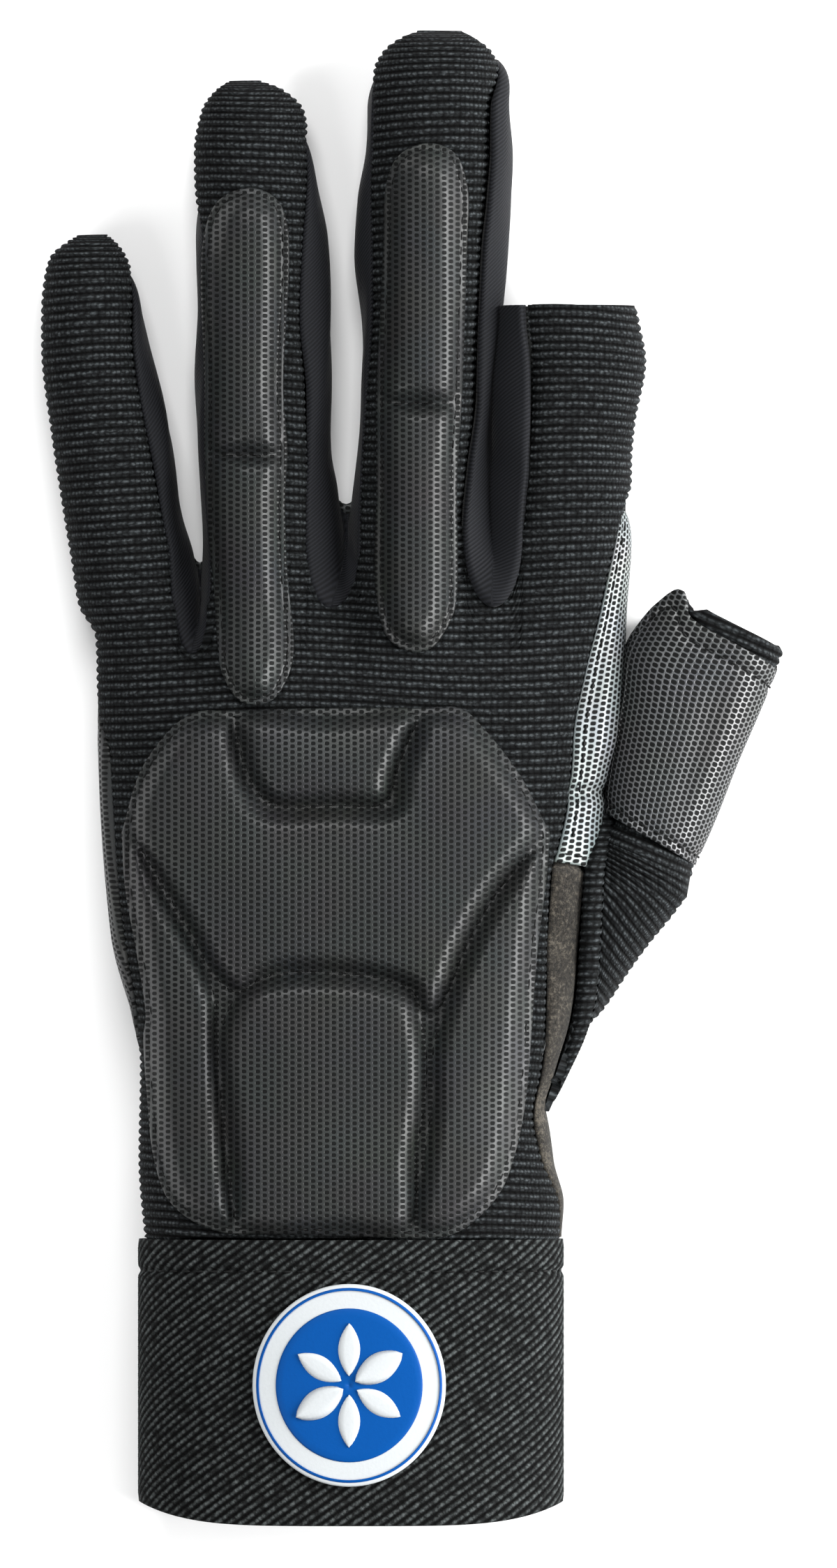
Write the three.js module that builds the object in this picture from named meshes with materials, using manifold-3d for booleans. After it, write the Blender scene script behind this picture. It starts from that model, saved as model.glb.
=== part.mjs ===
// A fingered shooting glove for the left hand, lying palm down on a table.
// Units are millimetres: +X is to the right, +Y points to the fingertips, +Z is up.
import * as THREE from "three";
import { mergeVertices } from "three/addons/utils/BufferGeometryUtils.js";
import Module from "manifold-3d";

const wasm = await Module();
wasm.setup();

// Driving dimensions.
const SEAM_GAP = 0.3; // free space between two panels that are sewn together
const KNIT_WALL = 1.6; // thickness of the ribbed knit and of the twill between the fingers
const LEATHER_WALL = 1.5; // thickness of the leather sleeve on the thumb
const ELASTIC_WALL = 2.0; // thickness of the wrist elastic
const FLANGE = 1.5; // thickness of the stitched rim of each pad
const CUSHION = 5.2; // height of a filled cushion above the knit
const BADGE_RADIUS = 17.6; // the round badge, before it bends over the wrist
const BADGE_THICKNESS = 1.2;
const SQUARE = 0.85; // below 1 a section is squarer than an ellipse
const PALM_SQUARE = 0.77; // the same for the wide hand
const SINK = 2; // how far the lower half would reach below the table before it is cut flat
const HAND_SINK = 7; // the same for the wide hand
const SIDE_SEAM = 22; // degrees below the widest point, where the palm panel is sewn on
const BLEND_START = 40; // y where the stalls begin to melt into the hand
const BLEND_END = 14; // y where the hand is one wide section
const STALL_MIDDLE = 6.7; // height of the widest point of a finger stall

// One row per section, from the fingertip to the wrist, all sizes in millimetres.
// back seams are angles round the section: 0 is the right side, 90 the top, 180 the left side.
const FINGER_COLUMNS = ["y", "left", "right", "top", "round", "seamLeft", "seamRight"];
const FINGERS = {
  little: [
    [94.6, -58.3, -53.9, 15, 0, 202, -22],
    [93.7, -60.2, -52.4, 15, 0.5, 202, -22],
    [90.8, -63.4, -50.2, 15, 0.86, 202, -22],
    [87.1, -64.3, -48.7, 15, 1, 202, 12],
    [82.3, -64.6, -47.1, 15, 1, 202, 36],
    [74.9, -64.6, -45.8, 15.4, 1, 202, 48],
    [59.3, -63, -42.3, 16, 1, 202, 54],
    [45.8, -60.8, -39.7, 16.5, 1, 202, 54],
    [38, -59.4, -37.9, 17, 1, 202, 55],
    [30.2, -58.2, -37.5, 17.5, 1, 202, 57],
    [24.5, -55.4, -37.7, 17.8, 1, 200, 57],
    [18.8, -55.2, -38.2, 18, 1, 190, 55],
    [11, -55.1, -38.1, 18, 1, 166, 55],
    [4, -55, -38, 18, 1, 138, 55],
    [-12, -54.5, -37, 18, 1, 135, 55],
    [-28, -52.7, -36, 18, 1, 135, 55],
    [-41.6, -48.9, -35, 18, 1, 158, 55],
    [-50, -47.7, -34.5, 18, 1, 202, 55],
    [-59.2, -47.7, -34, 18, 1, 202, 55],
    [-66.5, -47.6, -33.5, 18, 1, 202, 55],
    [-80, -46.6, -33, 18, 1, 202, 55],
  ],
  ring: [
    [121.4, -32, -26.8, 15.5, 0, 202, -22],
    [120.1, -34.4, -22.8, 15.5, 0.5, 202, -22],
    [116.4, -37.1, -19, 15.5, 0.86, 202, -22],
    [109.8, -38.4, -17.9, 15.5, 1, 202, 14],
    [101.8, -38.2, -15.9, 16, 1, 180, 42],
    [94, -38.4, -14.8, 16, 1, 150, 54],
    [79.9, -37.3, -14.5, 16, 1, 153, 60],
    [67.6, -37.7, -14, 16.5, 1, 150, 55],
    [56.5, -38, -13.6, 17, 1, 149, 55],
    [50.5, -37.9, -12.8, 17.3, 1, 151, 60],
    [37.7, -36.8, -12.1, 18, 1, 156, 65],
    [18.8, -37.1, -12.9, 18, 1, 151, 63],
    [-80, -31.5, -12.9, 18, 1, 125, 55],
  ],
  middle: [
    [130.1, 1, 8.4, 16, 0, 202, -22],
    [129.2, -2.1, 10.5, 16, 0.44, 202, -22],
    [126.8, -5.3, 13.6, 16, 0.76, 202, -22],
    [122.9, -7.4, 15.2, 16, 0.96, 178, 5],
    [117.1, -8.4, 15.7, 16, 1, 156, 36],
    [109.8, -8.5, 16.2, 16, 1, 156, 41],
    [101, -9.5, 15.5, 16, 1, 146, 40],
    [92.4, -9.7, 14.8, 16, 1, 142, 42],
    [80.2, -8.8, 14.2, 16.5, 1, 151, 43],
    [66.3, -9.7, 13.5, 17, 1, 154, 40],
    [54.1, -10.5, 13.3, 17.5, 1, 153, 50],
    [42.9, -10.9, 13.3, 18, 1, 153, 56],
    [18.8, -10.9, 13, 18, 1, 153, 51],
    [-80, -11.5, 7.3, 18, 1, 125, 55],
  ],
  index: [
    [82.5, 14.8, 38.7, 17, 1, 123, -22],
    [79.8, 14.8, 39.2, 17, 1, 123, -22],
    [72.5, 15.1, 40.5, 17, 1, 122, -22],
    [61.5, 14.3, 38.6, 17, 1, 116, -22],
    [54.5, 14, 38, 17.5, 1, 115, -20],
    [47.6, 13.9, 38, 18, 1, 118, 20],
    [42.9, 13.9, 37.9, 18, 1, 120, 34],
    [28.7, 13.9, 36.8, 18, 1, 119, 52],
    [18.8, 13.6, 36.4, 18, 1, 120, 66],
    [7.9, 13, 35.7, 18, 1, 120, 74],
    [0, 12.6, 33.7, 18, 1, 120, 68],
    [-4.3, 12.2, 33.2, 18, 1, 120, 68],
    [-12.1, 11.5, 32.1, 18, 1, 120, 72],
    [-16.4, 11.1, 31.2, 18, 1, 120, 75],
    [-28, 10.8, 30, 18, 1, 120, 72],
    [-36, 10.5, 29.4, 18, 1, 120, 69],
    [-42, 10.3, 28.5, 18, 1, 120, 64],
    [-51.4, 9.8, 25.9, 18, 1, 120, 50],
    [-59.2, 9.4, 24, 18, 1, 120, 45],
    [-66.5, 9.1, 24.9, 18, 1, 120, 40],
    [-73.8, 8.8, 26.3, 18, 1, 120, 22],
    [-80, 8.7, 25.9, 18, 1, 120, 8],
  ],
};
const HAND_COLUMNS = ["y", "top", "middle"];
const HAND = [
  [45, 17, 7],
  [30.2, 20, 8],
  [18.8, 22, 9],
  [4, 24.5, 10],
  [-12, 26, 10.5],
  [-28, 27, 11],
  [-41.6, 28, 11.5],
  [-51.4, 28.6, 12],
  [-59.2, 29.2, 13],
  [-66.5, 30, 14],
  [-80, 31, 15.5],
];
// Crotches: where the back and the palm edges of each web start, and how deep they hang.
const WEBS = [
  { pair: ["little", "ring"], back: 30.2, backDrop: 8.6, palm: 40.4, palmDrop: 2.6 },
  { pair: ["ring", "middle"], back: 37.7, backDrop: 8, palm: 50.4, palmDrop: 2.4 },
  { pair: ["middle", "index"], back: 42.9, backDrop: 12.8, palm: 57, palmDrop: 1.6 },
];
const BACK_JOIN = 18.8;
const PALM_JOIN = 34;
const WRIST = -80;
// Palm panel, right edge in degrees: it dives under the hand where the thumb opens.
const PALM_EDGE = [
  [60, -SIDE_SEAM],
  [-6, -SIDE_SEAM],
  [-17, -62],
  [-56, -62],
  [-62, -SIDE_SEAM],
  [-80, -SIDE_SEAM],
];
const SIDE_ROWS = [46.6, 42.9, 38, 34, 29, 24, 17, 10, 4, -4, -10];
const SIDE_BOTTOM = -15.5; // hem of the leather patch beside the index finger
const SUEDE_ROWS = [-16.2, -20, -28, -36, -42, -50, -56, -59, -62, -66.5, -73, -79.6];
const THUMB_EDGE = [
  [-16, 26],
  [-56, 26],
  [-62, -SIDE_SEAM],
  [-80, -SIDE_SEAM],
];

// The thumb has its own frame: u to its right, v to its tip, leaning to the right of the hand.
const THUMB_LEAN = THREE.MathUtils.degToRad(22.6);
const THUMB_ORIGIN = [37.85, -8.3];
const THUMB_COLUMNS = ["v", "left", "right", "top"];
const THUMB_SLEEVE = [
  [42, -12.2, 13.3, 17],
  [35, -12.4, 13.4, 17],
  [29, -12.2, 13.4, 17.2],
  [20, -8.4, 13.4, 17.6],
  [12, -5.6, 13.4, 18],
  [6, -4.6, 13.4, 18],
  [-2, -2.6, 13.3, 18],
  [-5, -1.8, 13.1, 18],
];
const THUMB_MIDDLE = 7.5;
const THUMB_AROUND = 24; // columns round the thumb
const THUMB_OPEN = 20; // of these, the ones that carry on below the crotch
const SLEEVE_ROWS = [29, 20, 12, 6, -0.9];
// Top edge of the leather sleeve, v against the angle round the thumb; a seam end stands up at 127.
const SLEEVE_RIM = [
  [0, 35.6],
  [45, 36.6],
  [90, 37.6],
  [108, 38.2],
  [127, 41.4],
  [150, 37.2],
  [180, 31],
  [225, 36],
  [270, 39.6],
  [315, 38.4],
  [360, 35.6],
];
// Base of the thumb: y of the seam beside the hand, then the outer edge, then its height.
const BASE_COLUMNS = ["y", "outX", "outY", "top"];
const THUMB_BASE = [
  [-18.5, 47.6, -20.4, 18],
  [-22.5, 44.6, -24.4, 18],
  [-28, 40.9, -28.9, 17.8],
  [-34, 37, -34.2, 17.4],
  [-41, 32.7, -40.3, 16.8],
  [-48, 29, -45.8, 16],
  [-53, 26.4, -51.5, 15],
  [-56, 25.4, -54.6, 14.4],
];

// The pads, each an outline in plan with the rows of its stitched cushions.
const RING_PAD = [
  [-28.5, 102.9], [-34, 100.6], [-36.6, 94], [-36.4, 67.6], [-36.4, 56.6], [-35.6, 41.5],
  [-34.8, 34], [-34.1, 23.6], [-33.2, 18], [-29.6, 13], [-24.9, 13.3], [-22.3, 16.5],
  [-20.8, 21.7], [-21.9, 35.9], [-22.3, 49], [-21.9, 56.8], [-22.6, 67.6], [-21.9, 96.3],
  [-23.9, 101],
];
const RING_CUSHIONS = [
  [[-28.4, 101.3], [-33, 98.9], [-34.8, 93], [-34.5, 67.6], [-34.6, 57.5], [-29, 57.2],
    [-24, 57.5], [-24.4, 67.6], [-23.9, 94.5], [-25, 99.6]],
  [[-29, 55.6], [-34, 55.3], [-34.1, 42], [-32.6, 28], [-32, 20], [-29, 14.8], [-25.6, 15],
    [-23.4, 19], [-22.8, 24], [-23.9, 36], [-24.2, 49], [-24, 55.3]],
];
const MIDDLE_PAD = [
  [2.6, 110.7], [-2.4, 108.6], [-4.6, 104], [-5.2, 92.4], [-6, 75.5], [-6.5, 65.8],
  [-6.4, 52.2], [-6.4, 31.4], [-4.4, 24.4], [-0.6, 22], [3, 22.5], [6.6, 27.5], [7.6, 31.4],
  [7.7, 52.2], [8.5, 65.8], [9.4, 92.4], [9.5, 103], [7.3, 108.9],
];
const MIDDLE_CUSHIONS = [
  [[2.6, 109], [-1.6, 107.2], [-3.1, 103], [-3.6, 92.4], [-4.4, 75.5], [-4.7, 66.6],
    [1, 66.2], [6.6, 66.6], [7.7, 92.4], [7.6, 102.4], [6, 107.4]],
  [[1, 64.6], [-4.7, 64.3], [-4.7, 52.2], [-4.6, 32], [-3, 26], [-0.2, 23.8], [2.4, 24.2],
    [5.2, 28.4], [5.8, 32], [6, 52.2], [6.4, 64.3]],
];
const HAND_PAD = [
  [-14, 12.2], [-32, 11.7], [-37.4, 11.6], [-41.2, 9.5], [-47.3, 1.6], [-50.4, -6.8],
  [-50.7, -10.2], [-50.2, -19.1], [-48.2, -30.3], [-46.6, -41.5], [-47, -45.1], [-46.3, -56.2],
  [-45.2, -66], [-42.6, -73.4], [-37.4, -77.6], [-31, -79.4], [-28, -79.3], [-12, -79.6],
  [6, -79.6], [11.4, -76.4], [15.6, -71.3], [18.1, -64.1], [19.6, -56.2], [20.4, -45], [20.9, -34],
  [22.6, -30.3], [23.5, -16.3], [23.6, -9.1], [18.7, 0.4], [12.5, 8.4], [8.4, 12.1], [1.3, 12.2],
];
const HAND_CUSHIONS = [
  // the inset between the knuckles
  [[-29.6, 10], [-15, 9.9], [-0.6, 10.2], [-2, 6.4], [-3.9, 1.3], [-5.4, -3.4], [-14, -3.7],
    [-24, -3.7], [-27.3, -0.2], [-29.1, 5.2]],
  // the broad cushion behind the knuckles
  [[-32.8, 9.9], [-37.6, 9.4], [-40.6, 7.4], [-45.6, 0.4], [-47.9, -6], [-47.6, -9.6],
    [-43.6, -16.6], [-38, -26.2], [-34.2, -33.2], [-30.6, -36.4], [-27.6, -34.4],
    [-22.8, -32.9], [-14.6, -32.8], [-6.6, -33.6], [0.4, -36], [2.8, -40.2], [5.4, -36.2],
    [8, -29.4], [13.4, -19.8], [21.6, -9.4], [21.2, -7], [16.8, 0], [11.2, 7], [8, 10],
    [2.4, 10.2], [0.6, 6], [-1.4, 0.4], [-3.2, -5.6], [-14, -6], [-26, -5.8], [-29.8, -1.6],
    [-31.6, 4.6]],
  // the left side cushion
  [[-48.6, -12.4], [-48.4, -19.3], [-46.6, -30.3], [-44.9, -42], [-45, -46], [-44.4, -56.2],
    [-43.2, -65.2], [-40.8, -72], [-36.4, -75.8], [-32.4, -77.2], [-33.2, -68], [-34.4, -56],
    [-35.2, -45], [-35.4, -38.6], [-39.4, -29.2], [-44.4, -20.4]],
  // the long middle cushion
  [[-31.3, -40.8], [-28.4, -36.9], [-22.6, -35.2], [-14.6, -35], [-6.4, -35.8], [-1.2, -38],
    [0.4, -42], [1.4, -50], [1, -56.4], [-0.4, -66], [-1.4, -77.8], [-12, -78], [-29.4, -77.4],
    [-30.6, -68], [-31.8, -56], [-32.6, -46]],
  // the right side cushion
  [[21.6, -13.2], [21.4, -20], [20.6, -31], [19, -36], [18.6, -45], [17.8, -56],
    [16.4, -63.6], [14, -70.2], [10.4, -74.8], [5.6, -77.8], [1.8, -77.8], [2.8, -67], [4.2, -56.6],
    [4.4, -48], [6, -41.4], [9, -33.6], [14.6, -22.6]],
];
const CUFF = { top: -80.3, bottom: -130, rise: 4, left: -47.8, right: 26.2, height: 33, middle: 16 };
const BADGE_CENTRE = [-11.1, -105.5];

const rad = THREE.MathUtils.degToRad;
const lerp = THREE.MathUtils.lerp;
const clamp = THREE.MathUtils.clamp;

// Read one column of a table whose first column falls from row to row.
function read(table, at, column) {
  const rising = table[table.length - 1][0] > table[0][0];
  const side = rising ? -1 : 1;
  if (side * at >= side * table[0][0]) return table[0][column];
  for (let i = 1; i < table.length; i += 1) {
    const [before, after] = [table[i - 1], table[i]];
    if (side * at >= side * after[0]) {
      const share = (at - before[0]) / (after[0] - before[0]);
      return lerp(before[column], after[column], share);
    }
  }
  return table[table.length - 1][column];
}

function rowOf(table, columns, at) {
  return Object.fromEntries(columns.map((name, i) => [name, i ? read(table, at, i) : at]));
}

const power = (value, exponent) => Math.sign(value) * Math.abs(value) ** exponent;

// Height of the wide hand section over the table at (x, y), on its upper or its lower side.
function handHeight(x, y, upper, depth) {
  const row = rowOf(HAND, HAND_COLUMNS, y);
  const [left, right] = [read(FINGERS.little, y, 1), read(FINGERS.index, y, 2)];
  const half = (right - left) / 2 - depth;
  const off = clamp(Math.abs(x - (right + left) / 2) / half, 0, 1);
  const share = (1 - off ** (2 / PALM_SQUARE)) ** (PALM_SQUARE / 2);
  if (upper) return row.middle + (row.top - row.middle - depth) * share;
  return Math.max(depth, row.middle - (row.middle + HAND_SINK - depth) * share);
}

function blendAt(y) {
  const share = clamp((BLEND_START - y) / (BLEND_START - BLEND_END), 0, 1);
  return share * share * (3 - 2 * share);
}

// A point of the glove skin: a stall by name, an angle round it, a y and a depth into the wall.
function skin(name, degrees, y, depth) {
  const row = rowOf(FINGERS[name], FINGER_COLUMNS, y);
  const turn = rad(degrees);
  const full = (row.right - row.left) / 2;
  const half = Math.max(full - depth, full * 0.35);
  const x = (row.left + row.right) / 2 + half * power(Math.cos(turn), SQUARE);
  const upper = Math.sin(turn) >= 0;
  const reach = upper ? row.top - STALL_MIDDLE - depth : STALL_MIDDLE + SINK - depth;
  const rise = reach * row.round * power(Math.sin(turn), SQUARE);
  const apart = (upper ? 0.6 : -0.6) * SEAM_GAP * (1 - row.round);
  const stall = Math.max(STALL_MIDDLE + rise + apart, depth);
  const blend = blendAt(y);
  const z = blend > 0 ? lerp(stall, handHeight(x, y, upper, depth), blend) : stall;
  return new THREE.Vector3(x, y - depth * (1 - row.round), z);
}

// Height of the top of the skin straight above a point of the plan.
function skinTop(name, x, y) {
  if (!name) return handHeight(x, y, true, 0);
  const row = rowOf(FINGERS[name], FINGER_COLUMNS, y);
  const half = (row.right - row.left) / 2;
  const off = clamp(Math.abs(x - (row.left + row.right) / 2) / half, 0, 1);
  const share = (1 - off ** (2 / SQUARE)) ** (SQUARE / 2);
  const stall = STALL_MIDDLE + (row.top - STALL_MIDDLE) * row.round * share;
  return lerp(stall, handHeight(x, y, true, 0), blendAt(y));
}

// A wall: outer points, inner points and a rim round every open edge, welded into one body.
class Wall {
  constructor() {
    this.points = [];
    this.keys = new Map();
    this.faces = [];
  }

  point(v) {
    const key = [v.x, v.y, v.z].map((n) => Math.round(n * 1e4)).join();
    if (!this.keys.has(key)) {
      this.keys.set(key, this.points.length);
      this.points.push(v);
    }
    return this.keys.get(key);
  }

  triangle(a, b, c) {
    if (a !== b && b !== c && a !== c) this.faces.push([a, b, c]);
  }

  // A grid of columns and rows; place(column, row, depthShare) gives a point of either face.
  grid(columns, rows, place) {
    for (let i = 0; i < columns; i += 1) {
      for (let j = 0; j < rows; j += 1) {
        const ring = [[i, j], [i + 1, j], [i + 1, j + 1], [i, j + 1]];
        const outer = ring.map(([c, r]) => place(c, r, 0));
        const inner = ring.map(([c, r]) => place(c, r, 1));
        this.cell(outer, inner);
      }
    }
  }

  cell(outer, inner) {
    this.cells = this.cells || [];
    this.cells.push({
      outer: outer.map((v) => this.point(v)),
      inner: inner.map((v) => this.point(v)),
    });
  }

  geometry() {
    const edges = new Map();
    for (const { outer, inner } of this.cells) {
      this.triangle(outer[0], outer[1], outer[2]);
      this.triangle(outer[0], outer[2], outer[3]);
      this.triangle(inner[0], inner[2], inner[1]);
      this.triangle(inner[0], inner[3], inner[2]);
      for (let k = 0; k < 4; k += 1) {
        const n = (k + 1) % 4;
        if (outer[k] === outer[n]) continue;
        edges.set(`${outer[k]} ${outer[n]}`, [outer[k], outer[n], inner[k], inner[n]]);
      }
    }
    for (const [a, b, c, d] of edges.values()) {
      if (edges.has(`${b} ${a}`)) continue;
      this.triangle(b, a, c);
      this.triangle(b, c, d);
    }
    return solid(this.points, outward(this.points, this.faces));
  }
}

// Turn a closed set of faces over if its volume comes out negative.
function outward(points, faces) {
  let volume = 0;
  for (const [a, b, c] of faces) {
    volume += points[a].dot(new THREE.Vector3().crossVectors(points[b], points[c]));
  }
  return volume < 0 ? faces.map(([a, b, c]) => [a, c, b]) : faces;
}

function solid(points, faces) {
  const geometry = new THREE.BufferGeometry();
  const flat = points.flatMap((v) => [v.x, v.y, v.z]);
  geometry.setAttribute("position", new THREE.Float32BufferAttribute(flat, 3));
  geometry.setIndex(faces.flat());
  return geometry;
}

// Half a seam gap as degrees round a stall.
function gapTurn(name, y) {
  const half = (read(FINGERS[name], y, 2) - read(FINGERS[name], y, 1)) / 2;
  return Math.max(THREE.MathUtils.radToDeg((0.62 * SEAM_GAP) / half), 0.95);
}

// The seams of a stall on the back or the palm side at height y, moved off the neighbour.
function seams(name, side, y) {
  const gap = gapTurn(name, y);
  const low = SIDE_SEAM * clamp((read(FINGERS[name], y, 4) - 0.5) / 0.36, 0, 1);
  const left = Math.min(read(FINGERS[name], y, 5), 180 + low);
  const right = Math.max(read(FINGERS[name], y, 6), -low);
  if (side === "back") return [left - gap, right + gap];
  const outerLeft = name === "little" ? left : 180 + low;
  const outerRight = name === "index" ? read(PALM_EDGE, y, 1) : -low;
  const loose = name === "little" && y < 45 ? 2.6 : 0;
  return [outerLeft + gap + loose, outerRight - gap + 360];
}

// Edge of a web at share 0 to 1 from one stall to the next, hanging down in the middle.
function webPoint(web, side, share, below, joinAt, depth) {
  const swing = Math.PI * share;
  const start = side === "back" ? web.back : web.palm;
  const drop = side === "back" ? web.backDrop : web.palmDrop;
  const hang = start - (drop + SEAM_GAP + depth) * Math.sin(swing);
  const y = lerp(hang, joinAt, below);
  return bridge(web, side, share, y, depth);
}

function bridge(web, side, share, y, depth) {
  const [from, to] = web.pair;
  const across = (1 - Math.cos(Math.PI * share)) / 2;
  const a = skin(from, seams(from, side, y)[1], y, depth);
  const b = skin(to, seams(to, side, y)[0], y, depth);
  return new THREE.Vector3(lerp(a.x, b.x, across), y, lerp(a.z, b.z, across));
}

const NAMES = Object.keys(FINGERS);

// Where a stall passes into the hand, at its left and at its right seam.
function stallStarts(name, side) {
  const i = NAMES.indexOf(name);
  return [(WEBS[i - 1] || WEBS[i])[side], (WEBS[i] || WEBS[i - 1])[side]];
}

// The knit of one finger stall, which meets the knit of the hand at its root.
function stallKnit(name, columns, stallRows) {
  const wall = new Wall();
  const [leftStart, rightStart] = stallStarts(name, "back");
  wall.grid(columns, stallRows.length - 1, (c, r, deep) => {
    const start = lerp(leftStart, rightStart, c / columns) + SEAM_GAP;
    const y = lerp(FINGERS[name][0][0], start, stallRows[r]);
    const [left, right] = seams(name, "back", y);
    return skin(name, lerp(left, right, c / columns), y, deep * KNIT_WALL);
  });
  return wall.geometry();
}

// The back or the palm of the hand as one wall, with the stalls down to their last listed row.
function handWall(side, columns, webColumns, stallRows, lowRows, palmRows) {
  const wall = new Wall();
  const join = side === "back" ? BACK_JOIN : PALM_JOIN;
  NAMES.forEach((name, i) => {
    const tip = FINGERS[name][0][0];
    const [leftStart, rightStart] = stallStarts(name, side);
    const rows = stallRows.length - 1;
    const stallY = (share, row) => {
      const start = lerp(leftStart, rightStart, share);
      if (row <= rows) return lerp(tip, start, stallRows[row]);
      if (row <= rows + lowRows) return lerp(start, join, (row - rows) / lowRows);
      return palmRows[row - rows - lowRows - 1];
    };
    wall.grid(columns, rows + lowRows + palmRows.length, (c, r, deep) => {
      const y = stallY(c / columns, r);
      const [left, right] = seams(name, side, y);
      return skin(name, lerp(left, right, c / columns), y, deep * KNIT_WALL);
    });
    const web = WEBS[i];
    if (!web) return;
    wall.grid(webColumns, lowRows + palmRows.length, (c, r, deep) => {
      const share = c / webColumns;
      if (r <= lowRows) return webPoint(web, side, share, r / lowRows, join, deep * KNIT_WALL);
      return bridge(web, side, share, palmRows[r - lowRows - 1], deep * KNIT_WALL);
    });
  });
  return wall.geometry();
}

// The twill between two fingers: down one side, round the web and up the next side.
function twillWall(web, tops, sideRows, webRows, across) {
  const wall = new Wall();
  const [from, to] = web.pair;
  const sidePoint = (name, right, share, q, depth) => {
    const top = right ? tops[0] : tops[1];
    const y = lerp(top, lerp(web.back, web.palm, q), share);
    const gap = gapTurn(name, y);
    const back = read(FINGERS[name], y, right ? 6 : 5);
    const bottom = SIDE_SEAM - gap * (1.4 - 0.4 * share);
    const low = right ? -bottom : 180 + bottom;
    const free = gap * (1 + 2.4 * (1 - share));
    return skin(name, lerp(back + (right ? -free : free), low, q), y, depth);
  };
  const edgePoint = (side, share, depth) => {
    const start = side === "back" ? web.back : web.palm;
    const drop = side === "back" ? web.backDrop : web.palmDrop;
    const y = start - (drop + depth) * Math.sin(Math.PI * share);
    const q = side === "back" ? 0 : 1;
    const seam = (name, right) => {
      const gap = gapTurn(name, y);
      const back = read(FINGERS[name], y, right ? 6 : 5) + (right ? -gap : gap);
      const low = right ? -SIDE_SEAM + gap : 180 + SIDE_SEAM - gap;
      return skin(name, q ? low : back, y, depth);
    };
    const a = seam(from, true);
    const b = seam(to, false);
    const mix = (1 - Math.cos(Math.PI * share)) / 2;
    return new THREE.Vector3(lerp(a.x, b.x, mix), y, lerp(a.z, b.z, mix));
  };
  const sag = (name, right, q, depth) => {
    const end = sidePoint(name, right, 1, q, depth);
    const share = right ? 0 : 1;
    const chord = edgePoint("back", share, depth).lerp(edgePoint("palm", share, depth), q);
    return end.sub(chord);
  };
  const webbing = (share, q, depth) => {
    const chord = edgePoint("back", share, depth).lerp(edgePoint("palm", share, depth), q);
    const mix = (1 - Math.cos(Math.PI * share)) / 2;
    chord.addScaledVector(sag(from, true, q, depth), 1 - mix);
    return chord.addScaledVector(sag(to, false, q, depth), mix);
  };
  const rows = 2 * sideRows + webRows;
  wall.grid(across, rows, (c, r, deep) => {
    const q = 1 - c / across;
    const depth = deep * KNIT_WALL;
    if (r <= sideRows) return sidePoint(from, true, r / sideRows, q, depth);
    if (r >= rows - sideRows) return sidePoint(to, false, (rows - r) / sideRows, q, depth);
    return webbing((r - sideRows) / webRows, q, depth);
  });
  return wall.geometry();
}

// The leather patch that wraps the index side of the hand, from the knit to the palm.
function sidePatch() {
  const wall = new Wall();
  const across = 5;
  wall.grid(across, SIDE_ROWS.length, (c, r, deep) => {
    const q = c / across;
    const hem = SIDE_BOTTOM + (q > 0.3 ? (q - 0.3) * 6 : (0.3 - q) * 3);
    const y = r < SIDE_ROWS.length ? SIDE_ROWS[r] : hem;
    const gap = gapTurn("index", y);
    const top = read(FINGERS.index, y, 6) - gap;
    return skin("index", lerp(top, read(PALM_EDGE, y, 1) + gap, q), y, deep * KNIT_WALL);
  });
  return wall.geometry();
}

// The suede between the knit and the thumb, which then wraps the wrist to the palm.
function suedePatch() {
  const wall = new Wall();
  const across = 4;
  wall.grid(across, SUEDE_ROWS.length - 1, (c, r, deep) => {
    const y = SUEDE_ROWS[r];
    const gap = gapTurn("index", y);
    const top = read(FINGERS.index, y, 6) - 3 * gap - (y < -62 ? 4 : 0);
    const edge = Math.min(read(THUMB_EDGE, y, 1) + gap, top - 4);
    return skin("index", lerp(top, edge, c / across), y, deep * KNIT_WALL);
  });
  return wall.geometry();
}

function fromThumb(u, v, z) {
  const x = THUMB_ORIGIN[0] + u * Math.cos(THUMB_LEAN) + v * Math.sin(THUMB_LEAN);
  const y = THUMB_ORIGIN[1] - u * Math.sin(THUMB_LEAN) + v * Math.cos(THUMB_LEAN);
  return new THREE.Vector3(x, y, z);
}

// A point of the thumb tube; inset moves it in from the outside of the leather sleeve.
function thumbSkin(degrees, v, inset) {
  const row = rowOf(THUMB_SLEEVE, THUMB_COLUMNS, v);
  const turn = rad(degrees);
  const half = (row.right - row.left) / 2 - inset;
  const u = (row.left + row.right) / 2 + half * power(Math.cos(turn), SQUARE);
  const upper = Math.sin(turn) >= 0;
  const reach = upper ? row.top - THUMB_MIDDLE - inset : THUMB_MIDDLE + SINK - inset;
  const z = THUMB_MIDDLE + reach * power(Math.sin(turn), SQUARE);
  return fromThumb(u, v, Math.max(z, inset));
}

// Columns of the thumb run from its top left side over its right side to its lower left side.
const thumbAngle = (c) => 150 - (300 * c) / THUMB_OPEN;

function thumbSleeve() {
  const wall = new Wall();
  wall.grid(THUMB_AROUND, SLEEVE_ROWS.length, (c, r, deep) => {
    const degrees = thumbAngle(c % THUMB_AROUND);
    const v = r === 0 ? read(SLEEVE_RIM, (degrees + 360) % 360, 1) : SLEEVE_ROWS[r - 1];
    return thumbSkin(degrees, v, deep * LEATHER_WALL);
  });
  return wall.geometry();
}

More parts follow.
